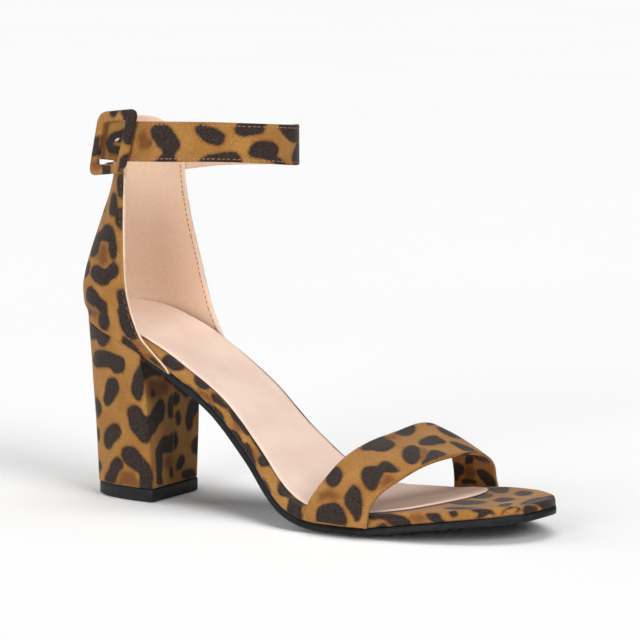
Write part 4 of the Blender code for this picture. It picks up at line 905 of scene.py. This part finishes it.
def dress_heel():
    back, breast, half_width, askew = (
        table_curve(HEEL_COLUMNS, HEEL_ROWS, "level", name) for name in HEEL_COLUMNS[1:]
    )
    rings, plans = [], []
    shares = np.concatenate([np.linspace(0, 1, HEEL_LEVELS), [1.0, 1.0]])
    insets = [(0, 0)] * HEEL_LEVELS + [(RIM_WALL, BREAST_LIP), (RIM_WALL + 0.3, BREAST_LIP + 0.3)]
    for level, (share, (wall, front)) in enumerate(zip(shares, insets, strict=True)):
        ring, around = [], []
        halves = heel_half(back(share) + wall, breast(share) - front, half_width(share) - wall, askew(share))
        for plan, sign in zip(halves, (1, -1), strict=True):
            top = rim_height(plan, half_width(share) - wall)
            if level == HEEL_LEVELS + 1:
                top = sole_rise(plan[:, 0])
            z = HEEL_FOOT + (top - HEEL_FOOT) * share
            length = arc(plan) * sign
            groove = GROOVE_DEPTH * np.exp(-(((np.abs(length) - np.abs(length[-1])) / GROOVE_WIDTH) ** 2))
            ring.append(np.column_stack([plan[:, 0] - groove, plan[:, 1], z]))
            around.append(np.column_stack([length, z]))
        rings.append(np.concatenate([ring[1][::-1], ring[0][1:]]))
        plans.append(np.concatenate([around[1][::-1], around[0][1:]]))
    size = len(rings[0])
    faces = grid_faces(0, len(rings), size)
    faces += [list(range(size)), list(range(size * (len(rings) - 1), size * len(rings)))]
    free = [((-64, 10, 7, 76), [(-66, -48, 0, 80)])]
    points, plans, kinds = np.concatenate(rings), np.concatenate(plans), [0] * len(faces)
    build("heel_block", points, faces, plans, kinds, [LEOPARD], "heel_block", None, free)

    rings = []
    for z, grow in TIP_EDGE:
        foot, front = back(0) + TIP_BACK_INSET - grow, breast(0) + TIP_FRONT_PROUD + grow
        lateral, medial = heel_half(foot, front, half_width(0) + grow, askew(0))
        plan = np.concatenate([medial[::-1], lateral[1:-1]])
        rings.append(np.column_stack([plan, np.full(len(plan), z)]))
    loops = rows_of(len(rings), len(rings[0]))
    faces = [f for low, high in zip(loops, loops[1:], strict=False) for f in ribbon(low, high)]
    faces += [loops[0], loops[-1]]
    points, kinds = np.concatenate(rings), [0] * len(faces)
    build("heel_top_piece", points, faces, points[:, :2], kinds, [RUBBER], "heel_top_piece")


def counter_line(z, edge):
    """Half of the counter's plan at this height, evenly from its back to its front."""
    names = ("back", "half_width", "bend", edge)
    back, half_width, bend, front = (float(COUNTER_CURVES[name](z)) for name in names)
    return bow(back, front, half_width, COUNTER_SQUARENESS, bend, COUNTER_PLAN)


def dress_counter():
    top = table_curve(COUNTER_TOP_COLUMNS, COUNTER_TOP_ROWS, "around", "top")
    places = np.arange(COUNTER_PLAN)
    grid, plans = [], []
    for around in np.linspace(-1, 1, COUNTER_AROUND):
        edge, sign = ("medial_front", 1) if around > 0 else ("lateral_front", -1)
        share = abs(around) * (COUNTER_PLAN - 1)
        low = 66.0
        for _ in range(SEAM_STEPS):
            line = counter_line(low, edge)
            low = 0.5 * low + 0.5 * float(seam_height(np.interp(share, places, line[:, 0])) + SEAM_GAP / 2)
        row, plan = [], []
        for z in low + (float(top(around)) - low) * np.linspace(0, 1, COUNTER_UP):
            line = counter_line(z, edge)
            x, y = (np.interp(share, places, line[:, k]) for k in (0, 1))
            row.append((x, sign * y, z))
            plan.append((-around * arc(line)[-1], z))
        grid.append(row)
        plans.append(plan)
    grid, plans = np.array(grid), np.array(plans)
    free = [((-60, 14, 60, 156), [(14, 70, 0, 200)])]
    sheet("heel_counter", grid, plans, WALL, (60.0, 0.0, 110.0), [LEOPARD, LINING, EDGE], 2, free)
    return grid


def strap_frame(count, levels):
    """The ankle strap's outer face, its surface coordinates, and the way out of it."""
    line = spline(np.array(STRAP_ROWS, float), count)
    along = unit(np.gradient(line[:, :2], axis=0))
    outwards = np.stack([along[:, 1], -along[:, 0]], axis=1)
    outer = line[:, :2] + outwards * STRAP_THICK
    grid = np.stack([np.column_stack([outer, line[:, 2] + level * line[:, 3]]) for level in levels], axis=1)
    run = arc(line[:, :3])
    plan = np.stack([np.stack([run, level * line[:, 3]], axis=1) for level in levels], axis=1)
    return grid, plan, np.column_stack([outwards, np.zeros(count)])


def dress_strap():
    grid, plan, _ = strap_frame(260, np.linspace(-0.5, 0.5, 19))
    free = [((100, 245, -8, 8), [])]
    sheet("ankle_strap", grid, plan, STRAP_THICK, (80.0, 0.0, 146.0), [LEOPARD, LINING], 0, free)


def toe_frame(count, shares):
    """The toe strap's outer face and its surface coordinates."""
    rows = np.array(TOE_STRAP_ROWS, float)
    back, front = spline(rows[:, :3], count), spline(rows[:, 3:], count)
    middle = np.array((175.0, 0.0, 0.0))
    run = arc((back + front) / 2)
    grid, plan = [], []
    for share in shares:
        line = back * (1 - share) + front * share
        out = (line - middle) * (0, 1, 1)
        grid.append(line + unit(out) * TOE_STRAP_BULGE * math.sin(math.pi * share))
        plan.append(np.stack([run, np.full(count, share * TOE_STRAP_WIDE)], axis=1))
    return np.stack(grid, axis=1), np.stack(plan, axis=1)


def dress_toe_strap():
    grid, plan = toe_frame(150, np.linspace(0, 1, 34))
    whole = (0, 130, 0, 29)
    free, inner_free = [(whole, [(0, 96, -5, 35)])], [(whole, [(88, 125, 5, 35)])]
    both = [LEOPARD, LEOPARD]
    sheet("toe_strap", grid, plan, TOE_STRAP_THICK, (175.0, 0.0, 0.0), both, 0, free, inner_free)


def dress_buckle():
    window = (BUCKLE_LENGTH - 2 * BUCKLE_BAR, BUCKLE_HEIGHT - 2 * BUCKLE_BAR)
    rounds = [(0, *step) for step in BUCKLE_EDGE] + [(1, *step) for step in reversed(BUCKLE_EDGE)]
    rings = []
    for inner, pinch, share in rounds:
        size = window if inner else (BUCKLE_LENGTH, BUCKLE_HEIGHT)
        corner = WINDOW_CORNER if inner else BUCKLE_CORNER
        grow = pinch if inner else -pinch
        loop = rounded_box(size[0] + 2 * grow, size[1] + 2 * grow, corner + grow, 9)
        loop = even(np.concatenate([loop, loop[:1]]), 141)[:-1]
        rings.append(np.column_stack([loop, np.full(len(loop), share * BUCKLE_THICK)]))
    loops = rows_of(len(rings), len(rings[0]))
    faces = [f for low, high in zip(loops, loops[1:] + loops[:1], strict=True) for f in ribbon(low, high)]
    flat, kinds = np.concatenate(rings), [0] * len(faces)
    points = buckle_place(flat)
    build("buckle_frame", points, faces, flat[:, :2], kinds, [LEOPARD], "buckle_frame")


def capsules(name, spots, radius, material):
    """Small threads that narrow at their ends: each spot is its middle, its direction and the way out."""
    points, faces = [], []
    profile = ((-1.0, 0.0), (-0.8, 0.75), (-0.35, 1.0), (0.35, 1.0), (0.8, 0.75), (1.0, 0.0))
    for middle, ahead, out in spots:
        across = np.cross(ahead, out)
        first = len(points)
        for place, girth in profile:
            for turn in np.linspace(0, 2 * math.pi, 6, endpoint=False):
                lift = math.cos(turn) * out * radius * 0.8 + math.sin(turn) * across * radius
                points.append(middle + ahead * place * STITCH_LENGTH / 2 + lift * max(girth, 0.05))
        for level in range(len(profile) - 1):
            for k in range(6):
                a, b = first + level * 6 + k, first + level * 6 + (k + 1) % 6
                faces.append((a, b, b + 6, a + 6))
    points = np.array(points)
    build(name, points, faces, points[:, :2], [0] * len(faces), [material], None)


def dress_stitches(counter):
    """Threads along both edges of the ankle strap, and along the counter's front edges, outside and in."""
    inset = STITCH_INSET / STRAP_WIDE
    grid, _, outwards = strap_frame(400, [-0.5 + inset, 0.5 - inset])
    spots = []
    for line in (grid[:, 0], grid[:, 1]):
        run = arc(line)
        for at in np.arange(1.5, run[-1] - 1.5, STITCH_PITCH):
            i = min(int(np.searchsorted(run, at)), len(run) - 2)
            spots.append((line[i] + outwards[i] * 0.02, unit(line[i + 1] - line[i - 1]), outwards[i]))
    capsules("strap_stitches", spots, 0.17, THREAD)

    spots = []
    centre = np.array((45.0, 0.0, 0.0))
    for lead, behind in ((counter[0], counter[3]), (counter[-1], counter[-4])):
        back = unit(behind - lead)
        line = lead + back * COUNTER_STITCH_INSET
        up = unit(np.gradient(lead, axis=0))
        out = unit(np.cross(up, back))
        out = np.where(((line - centre) * (1, 1, 0) * out).sum(1, keepdims=True) < 0, -out, out)
        run = arc(line)
        for at in np.arange(2.0, run[-1] - 6.0, STITCH_PITCH):
            i = min(max(int(np.searchsorted(run, at)), 1), len(run) - 2)
            spots.append((line[i] + out[i] * 0.03, up[i], out[i]))
            spots.append((line[i] - out[i] * (WALL + 0.03), up[i], -out[i]))
    capsules("counter_stitches", spots, 0.15, BROWN_THREAD)


def noise(tree, scale, detail=2.0, roughness=0.5):
    made = tree.nodes.new("ShaderNodeTexNoise")
    for key, value in (("Scale", scale), ("Detail", detail), ("Roughness", roughness)):
        made.inputs[key].default_value = value
    tree.links.new(tree.nodes["coordinates"].outputs["Object"], made.inputs["Vector"])
    return made.outputs["Fac"]


def surface(name, roughness, metallic=0.0, **shader_values):
    material = bpy.data.materials.new(name)
    material.use_nodes = True
    tree = material.node_tree
    shader = tree.nodes["Principled BSDF"]
    shader.inputs["Roughness"].default_value = roughness
    shader.inputs["Metallic"].default_value = metallic
    for key, value in shader_values.items():
        shader.inputs[key.replace("_", " ")].default_value = value
    where = tree.nodes.new("ShaderNodeTexCoord")
    where.name = "coordinates"
    return material, tree, shader


def feed(tree, socket, value):
    """Set the socket to a number or a colour, or link it to another socket."""
    if isinstance(value, (int, float)):
        socket.default_value = value
    elif isinstance(value, tuple):
        socket.default_value = (*value, 1.0)
    else:
        tree.links.new(value, socket)


def math_node(tree, operation, a, b):
    made = tree.nodes.new("ShaderNodeMath")
    made.operation = operation
    feed(tree, made.inputs[0], a)
    feed(tree, made.inputs[1], b)
    return made.outputs[0]


def ramp(tree, value, low, high, to_low=0.0, to_high=1.0):
    made = tree.nodes.new("ShaderNodeMapRange")
    made.interpolation_type = "SMOOTHSTEP"
    limits = (("From Min", low), ("From Max", high), ("To Min", to_low), ("To Max", to_high))
    for key, number in limits:
        made.inputs[key].default_value = number
    tree.links.new(value, made.inputs["Value"])
    return made.outputs["Result"]


def mix(tree, share, a, b):
    made = tree.nodes.new("ShaderNodeMix")
    made.data_type = "RGBA"
    # A colour mix takes its share, first and second colour on these sockets
    for place, value in ((0, share), (6, a), (7, b)):
        feed(tree, made.inputs[place], value)
    return made.outputs[2]


def bump(tree, shader, height, strength, distance):
    made = tree.nodes.new("ShaderNodeBump")
    made.inputs["Strength"].default_value = strength
    made.inputs["Distance"].default_value = distance
    tree.links.new(height, made.inputs["Height"])
    tree.links.new(made.outputs["Normal"], shader.inputs["Normal"])


def attribute(tree, name):
    made = tree.nodes.new("ShaderNodeAttribute")
    made.attribute_name = name
    return made.outputs["Fac"]


def srgb(r, g, b):
    """A colour given in levels of 255, as the shader's linear values."""
    levels = (r / 255, g / 255, b / 255)
    return tuple(c / 12.92 if c <= 0.04045 else ((c + 0.055) / 1.055) ** 2.4 for c in levels)


def leopard():
    """Printed suede: tan, warm round the spots, with frayed dark spots and a fine nap; two of the charted
    dark outlines are painted shade.
    """
    material, tree, shader = surface(
        "leopard_suede", 0.95, Sheen_Weight=0.16, Sheen_Roughness=0.4, Specular_IOR_Level=0.15
    )
    fuzz = math_node(tree, "SUBTRACT", noise(tree, 1300.0, 3.0, 0.7), 0.5)
    wander = math_node(tree, "SUBTRACT", noise(tree, 300.0, 2.0), 0.5)
    edge = math_node(
        tree, "ADD", math_node(tree, "MULTIPLY", fuzz, 1.5), math_node(tree, "MULTIPLY", wander, 0.9)
    )
    spot = math_node(tree, "ADD", attribute(tree, "spot"), edge)
    dark = ramp(tree, spot, -0.55, 0.42, 1.0, 0.0)
    fringe = ramp(tree, spot, -0.2, 1.3, 0.55, 0.0)
    patch = math_node(tree, "ADD", attribute(tree, "brown"), math_node(tree, "MULTIPLY", edge, 2.0))
    brown = ramp(tree, patch, -2.4, 1.5, 0.85, 0.0)
    tan = mix(tree, ramp(tree, noise(tree, 70.0, 2.0), 0.35, 0.65), srgb(160, 112, 56), srgb(174, 127, 68))
    tan = mix(tree, ramp(tree, noise(tree, 1500.0, 3.0, 0.75), 0.36, 0.66, 0.0, 0.55), tan, srgb(122, 80, 38))
    warm = mix(tree, fringe, mix(tree, brown, tan, srgb(108, 62, 32)), srgb(104, 64, 34))
    black = mix(
        tree, ramp(tree, noise(tree, 1500.0, 3.0, 0.75), 0.35, 0.7), srgb(38, 29, 27), srgb(66, 55, 49)
    )
    tree.links.new(mix(tree, dark, warm, black), shader.inputs["Base Color"])
    nap = math_node(tree, "ADD", noise(tree, 2600.0, 3.0, 0.7), noise(tree, 900.0, 2.0))
    bump(tree, shader, nap, 0.5, 0.00016)
    return material


def plain(name, light, dark, scale, roughness, strength=0.15, distance=0.0001, metallic=0.0, **values):
    """A material of one colour, a little uneven, with a fine grain."""
    material, tree, shader = surface(name, roughness, metallic, **values)
    colour = mix(tree, ramp(tree, noise(tree, scale), 0.3, 0.7), dark, light)
    tree.links.new(colour, shader.inputs["Base Color"])
    bump(tree, shader, noise(tree, scale * 6, 3.0, 0.6), strength, distance)
    return material


LEOPARD = leopard()
LINING = plain("nude_lining", srgb(238, 208, 183), srgb(230, 198, 172), 1400.0, 0.7, 0.25)
EDGE = plain("cut_edge", srgb(244, 222, 198), srgb(228, 200, 172), 300.0, 0.6, 0.2)
SOCK = plain(
    "sock_sheet", srgb(240, 214, 198), srgb(233, 205, 188), 60.0, 0.6, 0.08, 0.00008, Specular_IOR_Level=0.3
)
RUBBER = plain(
    "black_rubber", srgb(30, 30, 31), srgb(22, 22, 23), 300.0, 0.5, 0.12, Specular_IOR_Level=0.25
)
SOLE_RUBBER = plain(
    "sole_rubber", srgb(36, 37, 38), srgb(28, 29, 30), 300.0, 0.5, 0.12, Specular_IOR_Level=0.12
)
THREAD = plain("thread", srgb(176, 134, 104), srgb(150, 104, 76), 800.0, 0.7, 0.1)
BROWN_THREAD = plain("brown_thread", srgb(128, 88, 60), srgb(104, 68, 44), 800.0, 0.7, 0.1)
METAL = plain("silver_metal", srgb(226, 224, 222), srgb(206, 204, 202), 90.0, 0.24, 0.05, 0.00003, 1.0)

COUNTER_CURVES = {
    name: table_curve(COUNTER_COLUMNS, COUNTER_ROWS, "z", name) for name in COUNTER_COLUMNS[1:]
}
dress_sole()
dress_heel()
COUNTER_GRID = dress_counter()
dress_strap()
dress_toe_strap()
dress_buckle()
dress_stitches(COUNTER_GRID)
for material_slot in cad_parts["buckle_prong"].material_slots:
    material_slot.material = METAL


def sun(name, towards, strength, spread):
    """A soft far light from this direction."""
    lamp = bpy.data.lights.new(name, "SUN")
    lamp.energy = strength
    lamp.angle = math.radians(spread)
    holder = bpy.data.objects.new(name, lamp)
    holder.rotation_euler = Vector(towards).to_track_quat("Z", "Y").to_euler()
    bpy.context.scene.collection.objects.link(holder)


def studio_world():
    """White light from all round, strongest from the upper left and weakest from the right."""
    world = bpy.data.worlds.new("studio")
    world.use_nodes = True
    tree = world.node_tree
    where = tree.nodes.new("ShaderNodeTexCoord")
    facing = tree.nodes.new("ShaderNodeVectorMath")
    facing.operation = "DOT_PRODUCT"
    facing.inputs[1].default_value = (-0.62, -0.5, 0.6)
    tree.links.new(where.outputs["Generated"], facing.inputs[0])
    glow = ramp(tree, facing.outputs["Value"], -0.7, 0.9, WORLD_LOW, WORLD_HIGH)
    tree.links.new(glow, tree.nodes["Background"].inputs["Strength"])
    bpy.context.scene.world = world


def make_stage():
    """A wide pale floor just under the shoe, and the lights."""
    mesh = bpy.data.meshes.new("floor")
    corners = [(x * 60, y * 60, -0.0002) for x, y in ((-1, -1), (1, -1), (1, 1), (-1, 1))]
    mesh.from_pydata(corners, [], [(0, 1, 2, 3)])
    mesh.materials.append(plain("pale_floor", (0.99, 0.99, 0.99), (0.98, 0.98, 0.98), 3.0, 0.8, 0.0))
    floor = bpy.data.objects.new("floor", mesh)
    bpy.context.scene.collection.objects.link(floor)
    studio_world()
    sun("key", (0.04, -1.0, 0.2), 1.8, 35)
    sun("left", (-1.0, -0.35, 0.8), 0.6, 40)
    sun("top", (0.05, 0.1, 1.0), 1.45, 45)
    sun("toe", (0.85, -0.3, 0.62), 1.6, 30)
    bpy.context.scene.view_settings.view_transform = "Standard"


def make_camera():
    """The photograph's own viewpoint, found by fitting the shoe's outline to it."""
    turn, pitch, roll = math.radians(34.371), math.radians(7.203), math.radians(0.2558)
    back = np.array([math.sin(turn) * math.cos(pitch), -math.cos(turn) * math.cos(pitch), math.sin(pitch)])
    right = np.array([math.cos(turn), math.sin(turn), 0.0])
    up = np.cross(back, right)
    across = math.cos(roll) * right - math.sin(roll) * up
    upright = math.sin(roll) * right + math.cos(roll) * up
    lens = bpy.data.cameras.new("camera")
    lens.sensor_width = 36.0
    lens.lens = 212.38
    holder = bpy.data.objects.new("camera", lens)
    turn_matrix = Matrix([[across[k], upright[k], back[k]] for k in range(3)])
    holder.matrix_world = Matrix.Translation((0.836392, -1.219426, 0.263855)) @ turn_matrix.to_4x4()
    bpy.context.scene.collection.objects.link(holder)
    bpy.context.scene.camera = holder


make_stage()
make_camera()
